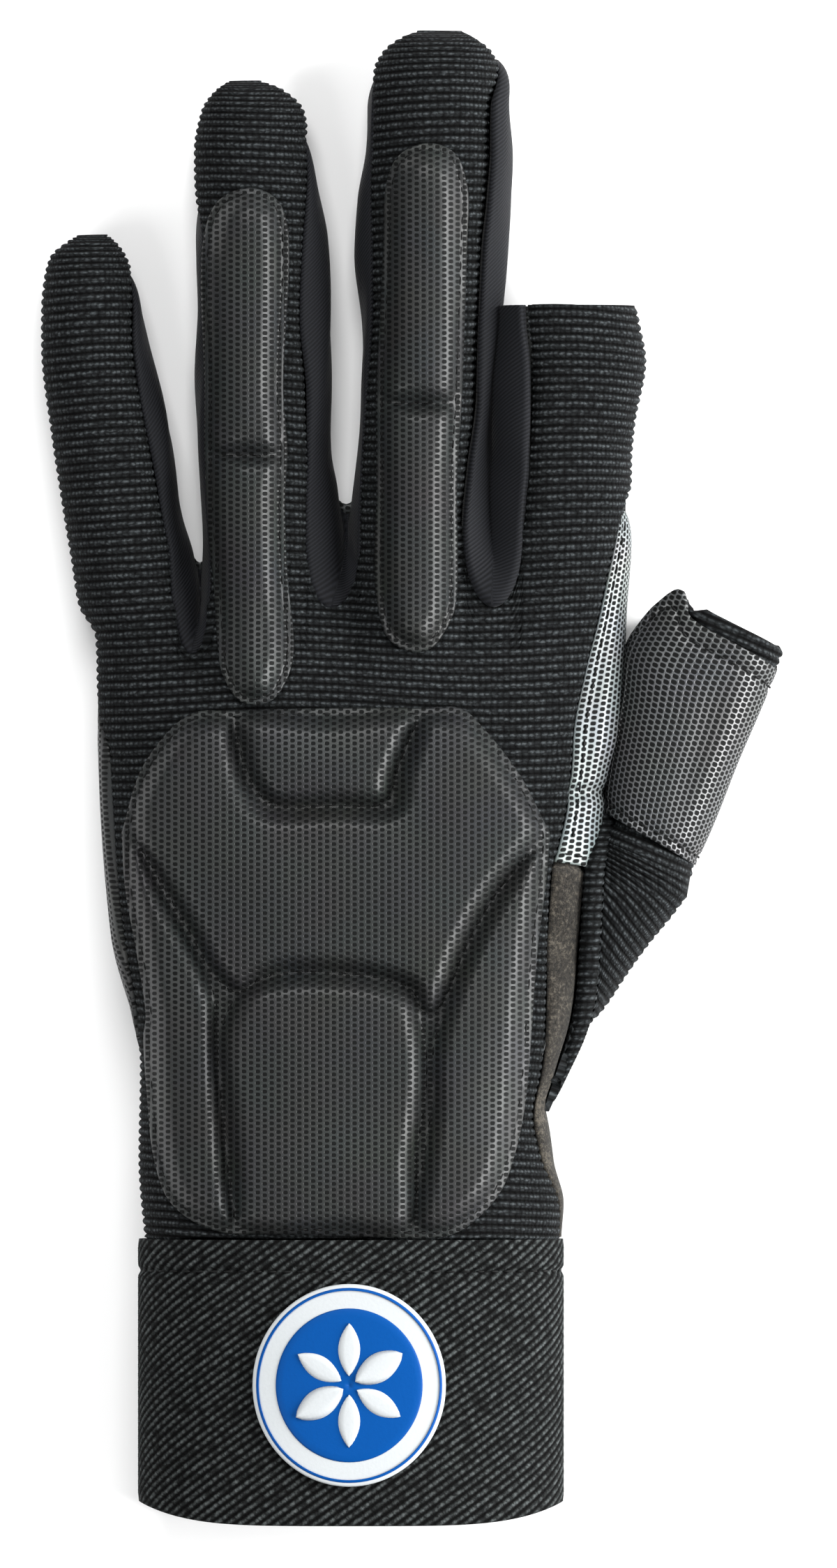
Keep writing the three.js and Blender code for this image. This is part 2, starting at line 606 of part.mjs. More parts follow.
// The knit of the thumb: a liner inside the sleeve, then the base that opens into the hand.
function thumbKnit() {
  const wall = new Wall();
  const [around, open] = [THUMB_AROUND, THUMB_OPEN];
  const liner = LEATHER_WALL + SEAM_GAP + 0.1;
  // one row per ring: v of the ring and how far it lies inside the sleeve
  const rings = [36.4, ...SLEEVE_ROWS].map((v) => [v, liner]);
  rings.push([-2.2, liner - 0.9], [-4.2, 0.2]);
  const ringPoint = (c, r, deep) => {
    const degrees = thumbAngle(c);
    const far = r === 0 ? 4.2 * Math.max(0, -Math.sin(rad(degrees))) : 0;
    const low = r === 0 ? 5.5 * Math.max(0, -Math.cos(rad(degrees))) : 0;
    return thumbSkin(degrees, rings[r][0] + far - low, rings[r][1] + deep * KNIT_WALL);
  };
  const last = rings.length - 1;
  wall.grid(around, last, (c, r, deep) => ringPoint(c % around === 0 ? 0 : c, r, deep));
  const basePoint = (c, r, deep) => {
    if (r === 0) return ringPoint(c, last, deep);
    const row = Object.fromEntries(BASE_COLUMNS.map((name, k) => [name, THUMB_BASE[r - 1][k]]));
    const depth = deep * KNIT_WALL;
    const gap = gapTurn("index", row.y) * 1.2;
    const start = skin("index", read(THUMB_EDGE, row.y, 1) - gap, row.y, depth);
    const end = skin("index", read(PALM_EDGE, row.y, 1) + gap, row.y, depth);
    const lift = 90 - (180 * c) / open;
    const [out, up] = [power(Math.cos(rad(lift)), 0.9), power(Math.sin(rad(lift)), 0.9)];
    const near = lift >= 0 ? start : end;
    const x = lerp(near.x, row.outX - depth, out);
    const y = lerp(near.y, row.outY, out);
    const crown = Math.abs(up) ** 8;
    if (lift >= 0) {
      const top = lerp(row.top - depth, start.z, crown);
      return new THREE.Vector3(x, y, lerp(THUMB_MIDDLE, top, up));
    }
    const low = lerp(depth, end.z, crown);
    return new THREE.Vector3(x, y, lerp(THUMB_MIDDLE, low, -up));
  };
  wall.grid(open, THUMB_BASE.length, basePoint);
  return wall.geometry();
}

function cuffWall() {
  const wall = new Wall();
  const [around, rows] = [36, 5];
  wall.grid(around, rows, (c, r, deep) => {
    const turn = -2 * Math.PI * ((c % around) / around);
    const depth = deep * ELASTIC_WALL;
    const half = (CUFF.right - CUFF.left) / 2 - depth;
    const x = (CUFF.left + CUFF.right) / 2 + half * power(Math.cos(turn), SQUARE);
    const reach = Math.sin(turn) >= 0 ? CUFF.height - CUFF.middle : CUFF.middle + SINK;
    const z = CUFF.middle + (reach - depth) * power(Math.sin(turn), SQUARE);
    const bottom = CUFF.bottom + CUFF.rise * Math.cos(turn) ** 4;
    return new THREE.Vector3(x, lerp(CUFF.top, bottom, r / rows), Math.max(z, depth));
  });
  return wall.geometry();
}

function cuffTop(x) {
  const half = (CUFF.right - CUFF.left) / 2;
  const off = clamp(Math.abs(x - (CUFF.left + CUFF.right) / 2) / half, 0, 1);
  return CUFF.middle + (CUFF.height - CUFF.middle) * (1 - off ** (2 / SQUARE)) ** (SQUARE / 2);
}

// A smooth closed outline through the listed corners.
function outline(corners, count) {
  const points = corners.map(([x, y]) => new THREE.Vector3(x, y, 0));
  const curve = new THREE.CatmullRomCurve3(points, true, "centripetal");
  const ring = curve.getSpacedPoints(count).slice(0, count);
  return THREE.ShapeUtils.isClockWise(ring) ? ring.reverse() : ring;
}

// Radius of the largest circle inside an outline that touches it at one point.
function roomAt(ring, i, inward) {
  let best = Infinity;
  for (const other of ring) {
    const away = other.clone().sub(ring[i]);
    const ahead = away.dot(inward);
    if (ahead > 1e-3) best = Math.min(best, away.lengthSq() / (2 * ahead));
  }
  return best;
}

// Rings that step inwards from an outline, each short of the middle of a narrow place.
function innerRings(ring, steps) {
  const deepest = steps[steps.length - 1];
  const moves = ring.map((point, i) => {
    const before = ring[(i + ring.length - 1) % ring.length];
    const after = ring[(i + 1) % ring.length];
    const inward = new THREE.Vector3(before.y - after.y, after.x - before.x, 0).normalize();
    return { inward, reach: Math.min(deepest, 0.75 * roomAt(ring, i, inward)) };
  });
  return steps.map((step) => ring.map((point, i) => {
    const by = (moves[i].reach * step) / deepest;
    return point.clone().addScaledVector(moves[i].inward, by).setZ(by);
  }));
}

// A soft flat solid over an outline: a side wall, rings that climb inwards and a lid.
function pillow(corners, count, steps, low, heightAt) {
  const rings = innerRings(outline(corners, count), steps);
  const points = rings[0].map((p) => new THREE.Vector3(p.x, p.y, low));
  const faces = [];
  for (const loop of rings) {
    points.push(...loop.map((p) => new THREE.Vector3(p.x, p.y, heightAt(p.z))));
  }
  const flip = (loop) => loop.map((p) => new THREE.Vector2(p.x, p.y));
  const last = rings.length * count;
  for (const [a, b, c] of THREE.ShapeUtils.triangulateShape(flip(rings[rings.length - 1]), [])) {
    faces.push([last + a, last + b, last + c]);
  }
  for (const [a, b, c] of THREE.ShapeUtils.triangulateShape(flip(rings[0]), [])) {
    faces.push([a, c, b]);
  }
  for (let k = 0; k < rings.length; k += 1) {
    for (let i = 0; i < count; i += 1) {
      const n = (i + 1) % count;
      const [a, b, c, d] = [k * count + i, k * count + n, (k + 1) * count + n, (k + 1) * count + i];
      faces.push([a, b, c], [a, c, d]);
    }
  }
  return solid(points, faces);
}

function toManifold(geometry) {
  const welded = mergeVertices(geometry, 1e-4);
  return new wasm.Manifold(new wasm.Mesh({
    numProp: 3,
    vertProperties: new Float32Array(welded.attributes.position.array),
    triVerts: new Uint32Array(welded.index.array),
  }));
}

// Cut every edge that is longer than a limit in plan, so that a flat piece can bend.
function splitLong(points, faces, limit) {
  let current = faces;
  for (let pass = 0; pass < 8; pass += 1) {
    const middles = new Map();
    const middle = (a, b) => {
      const [p, q] = [points[a], points[b]];
      if (Math.hypot(p.x - q.x, p.y - q.y) <= limit) return -1;
      const key = a < b ? `${a} ${b}` : `${b} ${a}`;
      if (!middles.has(key)) {
        middles.set(key, points.length);
        points.push(p.clone().lerp(q, 0.5));
      }
      return middles.get(key);
    };
    const next = [];
    for (const [a, b, c] of current) {
      const cut = [middle(a, b), middle(b, c), middle(c, a)];
      const corners = [a, b, c];
      const found = cut.filter((m) => m >= 0).length;
      if (found === 0) next.push(corners);
      if (found === 3) {
        next.push([a, cut[0], cut[2]], [cut[0], b, cut[1]], [cut[2], cut[1], c], cut);
      }
      if (found === 1) {
        const k = cut.findIndex((m) => m >= 0);
        const [p, q, r] = [corners[k], corners[(k + 1) % 3], corners[(k + 2) % 3]];
        next.push([p, cut[k], r], [cut[k], q, r]);
      }
      if (found === 2) {
        const k = (cut.findIndex((m) => m < 0) + 1) % 3;
        const [p, q, r] = [corners[k], corners[(k + 1) % 3], corners[(k + 2) % 3]];
        const [m, n] = [cut[k], cut[(k + 1) % 3]];
        next.push([p, m, n], [p, n, r], [m, q, n]);
      }
    }
    current = next;
    if (middles.size === 0) break;
  }
  return current;
}

// Bend a flat solid over a surface: every point rises by the surface height below it.
function drape(body, limit, baseAt) {
  const mesh = body.getMesh();
  const points = [];
  for (let i = 0; i < mesh.vertProperties.length; i += 3) {
    points.push(new THREE.Vector3().fromArray(mesh.vertProperties, i));
  }
  const faces = [];
  for (let i = 0; i < mesh.triVerts.length; i += 3) {
    faces.push([...mesh.triVerts.slice(i, i + 3)]);
  }
  const split = splitLong(points, faces, limit);
  points.forEach((p) => p.setZ(p.z + baseAt(p.x, p.y)));
  return solid(points, split);
}

// A pad: a thin stitched flange that follows the knit, with filled cushions on it.
function pad(name, corners, cushions, counts, bend) {
  const under = SEAM_GAP + 0.5;
  let body = toManifold(pillow(corners, counts[0], [0, 0.4], under, (by) => FLANGE - 0.3 + by));
  for (const cushion of cushions) {
    const crown = (by) => FLANGE + (CUSHION - FLANGE) * Math.sin(Math.min(by / 3.6, 1) * Math.PI / 2);
    const filled = pillow(cushion, counts[1], [0, 1.2, 3.6], 1, crown);
    body = body.add(toManifold(filled));
  }
  return drape(body, bend, (x, y) => skinTop(name, x, y));
}

function badge() {
  const ring = [];
  for (let i = 0; i < 28; i += 1) {
    const turn = (2 * Math.PI * i) / 28;
    ring.push([
      BADGE_CENTRE[0] + 0.955 * BADGE_RADIUS * Math.cos(turn),
      BADGE_CENTRE[1] + BADGE_RADIUS * Math.sin(turn),
    ]);
  }
  const under = SEAM_GAP + 0.1;
  const disc = pillow(ring, 28, [0, 0.4], under, (by) => under + BADGE_THICKNESS - 0.4 + by);
  return drape(toManifold(disc), 9, (x) => cuffTop(x));
}

const STALL_ROWS = [0, 0.012, 0.05, 0.11, 0.2, 0.32, 0.46, 0.62, 0.78, 0.92, 1];
const SOLE_ROWS = [0, 0.012, 0.05, 0.11, 0.22, 0.42, 0.62, 0.82, 1];
const PALM_ROWS = [11, 4, -4, -10, -17, -28, -42, -56, -62, -66.5, -73, WRIST];

const group = new THREE.Group();

function add(name, geometry, color, roughness) {
  const material = new THREE.MeshStandardMaterial({ color, roughness, metalness: 0 });
  const mesh = new THREE.Mesh(geometry, material);
  mesh.name = name;
  group.add(mesh);
}

add("back_knit", handWall("back", 6, 6, [1], 4, PALM_ROWS), "#2d3032", 0.95);
NAMES.forEach((name) => add(`${name}_knit`, stallKnit(name, 6, STALL_ROWS), "#2d3032", 0.95));
add("palm_panel", handWall("palm", 3, 6, SOLE_ROWS, 2, [30.2, 24.5, 18.8, ...PALM_ROWS]), "#3a3c3c", 0.7);
const TWILL_TOPS = [[88.6, 101], [111.6, 123.2], [124.4, 82.5]];
const TWILL_NAMES = ["little_ring_twill", "ring_middle_twill", "middle_index_twill"];
WEBS.forEach((web, i) => {
  add(TWILL_NAMES[i], twillWall(web, TWILL_TOPS[i], 8, 6, 4), "#16181f", 0.9);
});
add("index_side_patch", sidePatch(), "#4a4c4c", 0.55);
add("suede_patch", suedePatch(), "#4a4640", 0.95);
add("thumb_knit", thumbKnit(), "#2d3032", 0.95);
add("thumb_sleeve", thumbSleeve(), "#4a4c4c", 0.55);
add("hand_pad", pad(null, HAND_PAD, HAND_CUSHIONS, [34, 18], 10), "#4a4c4c", 0.55);
add("ring_pad", pad("ring", RING_PAD, RING_CUSHIONS, [20, 13], 7.5), "#4a4c4c", 0.55);
add("middle_pad", pad("middle", MIDDLE_PAD, MIDDLE_CUSHIONS, [20, 13], 7.5), "#4a4c4c", 0.55);
add("wrist_cuff", cuffWall(), "#2c2e2e", 0.95);
add("round_badge", badge(), "#e8edef", 0.4);

// The origin is the middle of the footprint, on the table.
const box = new THREE.Box3().setFromObject(group);
const centre = box.getCenter(new THREE.Vector3());
group.traverse((child) => {
  if (child.isMesh) child.geometry.translate(-centre.x, -centre.y, -box.min.z);
});

export default group;
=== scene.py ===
"""Looks of a fingered shooting glove for the left hand, lying palm down on a table.

Tables are in millimetres, in the same frame as the solids: +X to the thumb, +Y to the
fingertips, +Z up out of the back of the hand. Each panel is a grid that is laid over one
common skin, so that neighbours meet along their seams.
"""

import math

import bmesh
import bpy
import numpy as np
from bpy.props import FloatProperty, FloatVectorProperty, PointerProperty
from mathutils import Matrix, Vector


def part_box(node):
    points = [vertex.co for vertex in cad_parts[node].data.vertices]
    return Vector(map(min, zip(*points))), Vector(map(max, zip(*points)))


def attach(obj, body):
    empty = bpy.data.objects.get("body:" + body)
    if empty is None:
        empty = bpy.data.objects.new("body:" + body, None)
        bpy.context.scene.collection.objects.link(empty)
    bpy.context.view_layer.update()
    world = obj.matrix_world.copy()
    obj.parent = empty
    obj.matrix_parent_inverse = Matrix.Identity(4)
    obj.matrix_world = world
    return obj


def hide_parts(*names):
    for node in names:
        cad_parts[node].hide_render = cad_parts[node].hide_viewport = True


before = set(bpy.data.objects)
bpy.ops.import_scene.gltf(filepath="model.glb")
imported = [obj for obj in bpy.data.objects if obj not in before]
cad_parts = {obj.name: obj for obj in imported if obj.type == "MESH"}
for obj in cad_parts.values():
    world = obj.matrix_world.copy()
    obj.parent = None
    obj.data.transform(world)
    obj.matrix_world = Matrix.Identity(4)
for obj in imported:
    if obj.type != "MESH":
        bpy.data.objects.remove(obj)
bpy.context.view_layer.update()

bl_info = {
    "name": "Shooting Glove",
    "version": (1, 0, 0),
    "blender": (4, 5, 0),
    "location": "View3D > Sidebar > Glove",
    "description": "Builds a padded shooting glove with a knit back",
    "category": "Object",
}

MM = 0.001
FIELD_HEIGHT = 273.4  # millimetres of table that the picture is high
FIELD_CENTRE = (1.28, -1.1)  # middle of the picture on the table

SQUARE = 0.85  # below 1 a section is squarer than an ellipse
PALM_SQUARE = 0.77  # the same for the wide hand
SINK = 2.0  # how far a stall's lower half would reach below the table
HAND_SINK = 7.0  # the same for the wide hand
SIDE_SEAM = 22.0  # degrees below the widest point, where the palm panel is sewn on
BLEND_START = 40.0  # y where the stalls begin to melt into the hand
BLEND_END = 14.0  # y where the hand is one wide section
STALL_MIDDLE = 6.7  # height of the widest point of a finger stall
BACK_JOIN = 18.8  # y where the stalls' grids of the back become the hand's
PALM_JOIN = 34.0  # the same on the palm
WRIST = -80.0  # y where the panels meet the elastic
SIDE_TOP = 46.6  # upper and lower end of the patch beside the index finger
SIDE_BOTTOM = -15.5
SUEDE_TOP = -14.2

FINGER_COLUMNS = ("y", "left", "right", "top", "round", "seam_left", "seam_right")
FINGER_ROWS = {
    "little": (
        (94.6, -58.3, -53.9, 15, 0, 202, -22), (93.7, -60.2, -52.4, 15, 0.5, 202, -22),
        (90.8, -63.4, -50.2, 15, 0.86, 202, -22), (87.1, -64.3, -48.7, 15, 1, 202, 12),
        (82.3, -64.6, -47.1, 15, 1, 202, 36), (74.9, -64.6, -45.8, 15.4, 1, 202, 48),
        (59.3, -63, -42.3, 16, 1, 202, 54), (45.8, -60.8, -39.7, 16.5, 1, 202, 54),
        (38, -59.4, -37.9, 17, 1, 202, 55), (30.2, -58.2, -37.5, 17.5, 1, 202, 57),
        (24.5, -55.4, -37.7, 17.8, 1, 200, 57), (18.8, -55.2, -38.2, 18, 1, 190, 55),
        (11, -55.1, -38.1, 18, 1, 166, 55), (4, -55, -38, 18, 1, 138, 55),
        (-12, -54.5, -37, 18, 1, 135, 55), (-28, -52.7, -36, 18, 1, 135, 55),
        (-41.6, -48.9, -35, 18, 1, 158, 55), (-50, -47.7, -34.5, 18, 1, 202, 55),
        (-59.2, -47.7, -34, 18, 1, 202, 55), (-66.5, -47.6, -33.5, 18, 1, 202, 55),
        (-80, -46.6, -33, 18, 1, 202, 55),
    ),
    "ring": (
        (121.4, -32, -26.8, 15.5, 0, 202, -22), (120.1, -34.4, -22.8, 15.5, 0.5, 202, -22),
        (116.4, -37.1, -19, 15.5, 0.86, 202, -22), (109.8, -38.4, -17.9, 15.5, 1, 202, 14),
        (101.8, -38.2, -15.9, 16, 1, 180, 42), (94, -38.4, -14.8, 16, 1, 150, 54),
        (79.9, -37.3, -14.5, 16, 1, 153, 60), (67.6, -37.7, -14, 16.5, 1, 150, 55),
        (56.5, -38, -13.6, 17, 1, 149, 55), (50.5, -37.9, -12.8, 17.3, 1, 151, 60),
        (37.7, -36.8, -12.1, 18, 1, 156, 65), (18.8, -37.1, -12.9, 18, 1, 151, 63),
        (-80, -31.5, -12.9, 18, 1, 125, 55),
    ),
    "middle": (
        (130.1, 1, 8.4, 16, 0, 202, -22), (129.2, -2.1, 10.5, 16, 0.44, 202, -22),
        (126.8, -5.3, 13.6, 16, 0.76, 202, -22), (122.9, -7.4, 15.2, 16, 0.96, 178, 5),
        (117.1, -8.4, 15.7, 16, 1, 156, 36), (109.8, -8.5, 16.2, 16, 1, 156, 41),
        (101, -9.5, 15.5, 16, 1, 146, 40), (92.4, -9.7, 14.8, 16, 1, 142, 42),
        (80.2, -8.8, 14.2, 16.5, 1, 151, 43), (66.3, -9.7, 13.5, 17, 1, 154, 40),
        (54.1, -10.5, 13.3, 17.5, 1, 153, 50), (42.9, -10.9, 13.3, 18, 1, 153, 56),
        (18.8, -10.9, 13, 18, 1, 153, 51), (-80, -11.5, 7.3, 18, 1, 125, 55),
    ),
    "index": (
        (82.5, 14.8, 38.7, 17, 1, 123, -22), (79.8, 14.8, 39.2, 17, 1, 123, -22),
        (72.5, 15.1, 40.5, 17, 1, 122, -22), (61.5, 14.3, 38.6, 17, 1, 116, -22),
        (54.5, 14, 38, 17.5, 1, 115, -20), (47.6, 13.9, 38, 18, 1, 118, 20),
        (42.9, 13.9, 37.9, 18, 1, 120, 34), (28.7, 13.9, 36.8, 18, 1, 119, 52),
        (18.8, 13.6, 36.4, 18, 1, 120, 66), (7.9, 13, 35.7, 18, 1, 120, 74),
        (0, 12.6, 33.7, 18, 1, 120, 68), (-4.3, 12.2, 33.2, 18, 1, 120, 68),
        (-12.1, 11.5, 32.1, 18, 1, 120, 72), (-16.4, 11.1, 31.2, 18, 1, 120, 75),
        (-28, 10.8, 30, 18, 1, 120, 74), (-36, 10.5, 29.4, 18, 1, 120, 72),
        (-42, 10.3, 28.5, 18, 1, 120, 68), (-51.4, 9.8, 25.6, 18, 1, 120, 54),
        (-59.2, 9.4, 23.4, 18, 1, 120, 48), (-66.5, 9.1, 24.4, 18, 1, 120, 41),
        (-73.8, 8.8, 26.3, 18, 1, 120, 22), (-80, 8.7, 25.9, 18, 1, 120, 8),
    ),
}
HAND_COLUMNS = ("y", "top", "middle")
HAND_ROWS = (
    (45, 17, 7), (30.2, 20, 8), (18.8, 22, 9), (4, 24.5, 10), (-12, 26, 10.5), (-28, 27, 11),
    (-41.6, 28, 11.5), (-51.4, 28.6, 12), (-59.2, 29.2, 13), (-66.5, 30, 14), (-80, 31, 15.5),
)
# Crotches: where the back and the palm edges of each web start, and how deep they hang.
WEBS = (
    {"pair": ("little", "ring"), "back": 30.2, "back_drop": 8.6, "palm": 40.4, "palm_drop": 2.6},
    {"pair": ("ring", "middle"), "back": 37.7, "back_drop": 8.0, "palm": 50.4, "palm_drop": 2.4},
    {"pair": ("middle", "index"), "back": 42.9, "back_drop": 12.8, "palm": 57.0, "palm_drop": 1.6},
)
TWILL_NAMES = ("little_ring_twill", "ring_middle_twill", "middle_index_twill")
TWILL_TOPS = ((88.6, 101.0), (111.6, 123.2), (124.4, 82.5))  # y of both ends of each strip
# Right edge of the palm panel and left edge of the thumb, in degrees round the section.
PALM_EDGE = ((60, -22), (-6, -22), (-17, -62), (-56, -62), (-62, -22), (-80, -22))
THUMB_EDGE = ((-16, 26), (-56, 26), (-62, -22), (-80, -22))

# The thumb has its own frame: u to its right, v to its tip, leaning to the right of the hand.
THUMB_LEAN = math.radians(22.6)
THUMB_ORIGIN = (37.85, -8.3)  # where u and v are 0
THUMB_COLUMNS = ("v", "left", "right", "top")
THUMB_ROWS = (
    (42, -12.2, 13.3, 17), (35, -12.4, 13.4, 17), (29, -12.8, 13.4, 17.2), (20, -10.6, 13.4, 17.6),
    (12, -8.9, 13.4, 18), (6, -7.4, 13.4, 18), (-2, -4.8, 13.3, 18), (-5, -4, 13.1, 18),
)
THUMB_START = 150  # degrees round the thumb where its grids begin
THUMB_MIDDLE = 7.5  # height of the thumb's widest point
SLEEVE_HEM = -0.75  # v of the sleeve's hem at the thumb's base
HEM_SLANT = 1.25  # how far the hem runs up on the left and down on the right
FAN_CENTRE = (50.0, -16.0)  # where the ribs of the thumb's base fan out from
LINER_PLAY = 0.35  # between the sleeve and the knit under it
RIM_STITCH = 3.2  # from the sleeve's rim to its seam
HEM_STITCH = 1.5  # from the sleeve's hem to its seam
THUMB_OPEN = 300.0  # degrees of the thumb knit that carry on below the crotch
BASE_TOP = -18.5  # y of both ends of the thumb's base
BASE_BOTTOM = -61.7
END_TUCK = 1.4
# The open end of the sleeve: an angle round the thumb and its v.
SLEEVE_RIM = (
    (0, 34.7), (45, 35.7), (90, 36.7), (108, 37.6), (127, 41.4), (150, 37.2), (180, 31), (225, 36),
    (270, 39.6), (315, 37.6), (360, 34.7),
)
# The rolled seam between the suede and the thumb, from beside the patch down to the hand's edge.
ROLL_COLUMNS = ("y", "x", "z")
ROLL_ROWS = (
    (0, 34, 7), (-4, 33.8, 9.5), (-9, 33.2, 13), (-16.2, 31.6, 16.4), (-23.2, 31.2, 17.2),
    (-30.3, 30.8, 17), (-37.5, 30.3, 16.6), (-44.6, 28.7, 15.8), (-51.6, 26, 14.4),
    (-56.5, 23.9, 12.5), (-58, 23.2, 11.5),
)
# The outer line of the thumb's base and its height.
BASE_COLUMNS = ("y", "out_x", "out_y", "top")
BASE_ROWS = (
    (-18.5, 47.6, -20.4, 18), (-22.5, 44.6, -24.4, 18), (-28, 40.9, -28.9, 17.8),
    (-34, 37, -34.2, 17.4), (-41, 32.7, -40.3, 16.8), (-48, 27.9, -45.8, 16),
    (-53, 24.9, -51.5, 15), (-56, 24.1, -55, 14), (-59, 22.8, -58.6, 11.5), (-61.7, 22, -61.6, 8.6),
)

# Outlines of the pads in plan, and of the cushions on each.
RING_PAD = (
    (-28.5, 102.9), (-34, 100.6), (-36.6, 94), (-36.4, 67.6), (-36.4, 56.6), (-35.6, 41.5),
    (-34.8, 34), (-34.1, 23.6), (-33.2, 18), (-29.6, 13), (-24.9, 13.3), (-22.3, 16.5),
    (-20.8, 21.7), (-21.9, 35.9), (-22.3, 49), (-21.9, 56.8), (-22.6, 67.6), (-21.9, 96.3),
    (-23.9, 101),
)
RING_CUSHIONS = (
    ((-28.4, 101.3), (-33, 98.9), (-34.8, 93), (-34.5, 67.6), (-34.6, 57.5), (-29, 57.2),
     (-24, 57.5), (-24.4, 67.6), (-23.9, 94.5), (-25, 99.6)),
    ((-29, 55.6), (-34, 55.3), (-34.1, 42), (-32.6, 28), (-32, 20), (-29, 14.8), (-25.6, 15),
     (-23.4, 19), (-22.8, 24), (-23.9, 36), (-24.2, 49), (-24, 55.3)),
)
MIDDLE_PAD = (
    (2.6, 110.7), (-2.4, 108.6), (-4.6, 104), (-5.2, 92.4), (-6, 75.5), (-6.5, 65.8),
    (-6.4, 52.2), (-6.4, 31.4), (-4.4, 24.4), (-0.6, 22), (3, 22.5), (6.6, 27.5), (7.6, 31.4),
    (7.7, 52.2), (8.5, 65.8), (9.4, 92.4), (9.5, 103), (7.3, 108.9),
)
MIDDLE_CUSHIONS = (
    ((2.6, 109), (-1.6, 107.2), (-3.1, 103), (-3.6, 92.4), (-4.4, 75.5), (-4.7, 66.6),
     (1, 66.2), (6.6, 66.6), (7.7, 92.4), (7.6, 102.4), (6, 107.4)),
    ((1, 64.6), (-4.7, 64.3), (-4.7, 52.2), (-4.6, 32), (-3, 26), (-0.2, 23.8), (2.4, 24.2),
     (5.2, 28.4), (5.8, 32), (6, 52.2), (6.4, 64.3)),
)
HAND_PAD = (
    (-14, 12.2), (-32, 11.7), (-37.4, 11.6), (-41.2, 9.5), (-47.3, 1.6), (-50.4, -8.2),
    (-50.8, -9.6), (-50.7, -11), (-50.2, -19.1), (-48.2, -30.3), (-46.6, -41.5), (-47, -45.1),
    (-46.3, -56.2), (-45.2, -66), (-42.6, -73.4), (-37.4, -77.6), (-31, -79.4), (-28, -79.3), (-12, -79.6),
    (6, -79.6), (11.4, -76.4), (15.6, -71.3), (18.1, -64.1), (19.6, -56.2), (20.6, -45),
    (21.2, -36), (21.8, -29), (23.2, -18), (23.8, -10.2), (23.7, -9.1), (23, -7.9), (18.7, 0.4), (12.5, 8.4),
    (8.4, 12.1), (1.3, 12.2),
)
HAND_CUSHIONS = (
    # the inset between the knuckles
    ((-29.6, 10), (-15, 9.9), (-0.6, 10.2), (-2, 6.4), (-3.9, 1.3), (-5.4, -3.4), (-14, -3.7),
     (-24, -3.7), (-27.3, -0.2), (-29.1, 5.2)),
    # the broad cushion behind the knuckles
    ((-32.8, 9.9), (-37.6, 9.4), (-40.6, 7.4), (-45.6, 0.4), (-47.9, -6), (-47.6, -9.6),
     (-43.6, -16.6), (-38, -26.2), (-34.2, -33.2), (-30.6, -36.4), (-27.6, -34.4),
     (-22.8, -32.9), (-14.6, -32.8), (-6.6, -33.6), (0.4, -36), (2.8, -40.2), (5.4, -36.2),
     (8, -29.4), (13.4, -19.8), (21.6, -9.4), (21.2, -7), (16.8, 0), (11.2, 7), (8, 10),
     (2.4, 10.2), (0.6, 6), (-1.4, 0.4), (-3.2, -5.6), (-14, -6), (-26, -5.8), (-29.8, -1.6),
     (-31.6, 4.6)),
    # the left side cushion
    ((-48.6, -12.4), (-48.4, -19.3), (-46.6, -30.3), (-44.9, -42), (-45, -46), (-44.4, -56.2),
     (-43.2, -65.2), (-40.8, -72), (-36.4, -75.8), (-32.4, -77.2), (-33.2, -68), (-34.4, -56),
     (-35.2, -45), (-35.4, -38.6), (-39.4, -29.2), (-44.4, -20.4)),
    # the long middle cushion
    ((-31.3, -40.8), (-28.4, -36.9), (-22.6, -35.2), (-14.6, -35), (-6.4, -35.8), (-1.2, -38),
     (0.4, -42), (1.4, -50), (1, -56.4), (-0.4, -66), (-1.4, -77.8), (-12, -78), (-29.4, -77.4),
     (-30.6, -68), (-31.8, -56), (-32.6, -46)),
    # the right side cushion
    ((21.6, -13.2), (21.4, -20), (20.2, -29.5), (19.4, -36), (18.6, -45), (17.8, -56),
     (16.4, -63.6), (14, -70.2), (10.4, -74.8), (5.6, -77.8), (1.8, -77.8), (2.8, -67),
     (4.2, -56.6), (4.4, -48), (6, -41.4), (9, -33.6), (14.6, -22.6)),
)
# Soft folds: how high they are and how far apart, by cloth.
FOLDS = {
    "knit": (0.25, 5.3), "palm": (0.25, 4.1), "twill": (0.75, 2.3), "suede": (0.45, 3.6),
    "sleeve": (0.25, 3.3), "thumb": (0.3, 4.0), "pad": (0.08, 3.1),
}
DIP_REACH = 0.9  # how far from a seam the cloth is pulled down
CURVE_STEP = 0.5  # spacing of the points of an outline
PUCKER_PITCH = 3.1  # from one pucker of a cushion's edge to the next
RIM_SEAM = 1.05  # from a pad's edge to the seam round it
CHANNEL_SEAM = 0.95  # from a cushion's edge to the seam in the channel beside it
UNDER_PAD = 0.25  # from the knit up to the underside of a pad
WELD = 0.004  # points that lie nearer than this become one
CUFF = {
    "top": -80.3, "bottom": -130, "rise": 4, "left": -47.8, "right": 26.2, "height": 33, "middle": 16,
}
CUFF_STITCH_ROW = -85.8
CUFF_LEAN = 35.5  # degrees by which its ribs rise to the right
KNOT_PITCH = 1.07  # from one knot of the ribbed knit to the next in its row
FLOAT_PITCH = 0.85  # the same for the floats of the elastic
TWILL_PITCH = 0.7  # the real ridges are 0.5 apart, drawn wider so that they show
BADGE_CENTRE = (-11.1, -105.5)
BADGE_RADIUS = 17.6
PETALS = 6
THREAD = "polyester sewing thread"
KNIT = "ribbed polyester knit"
PLAIN_LEATHER = "dented synthetic leather"

CAMERA_HEIGHT = 5.0  # metres, so far away that the picture is nearly flat
OBJECT_MIDDLE = 0.015  # height that the picture is focused on
WORLD_STRENGTH = 0.3
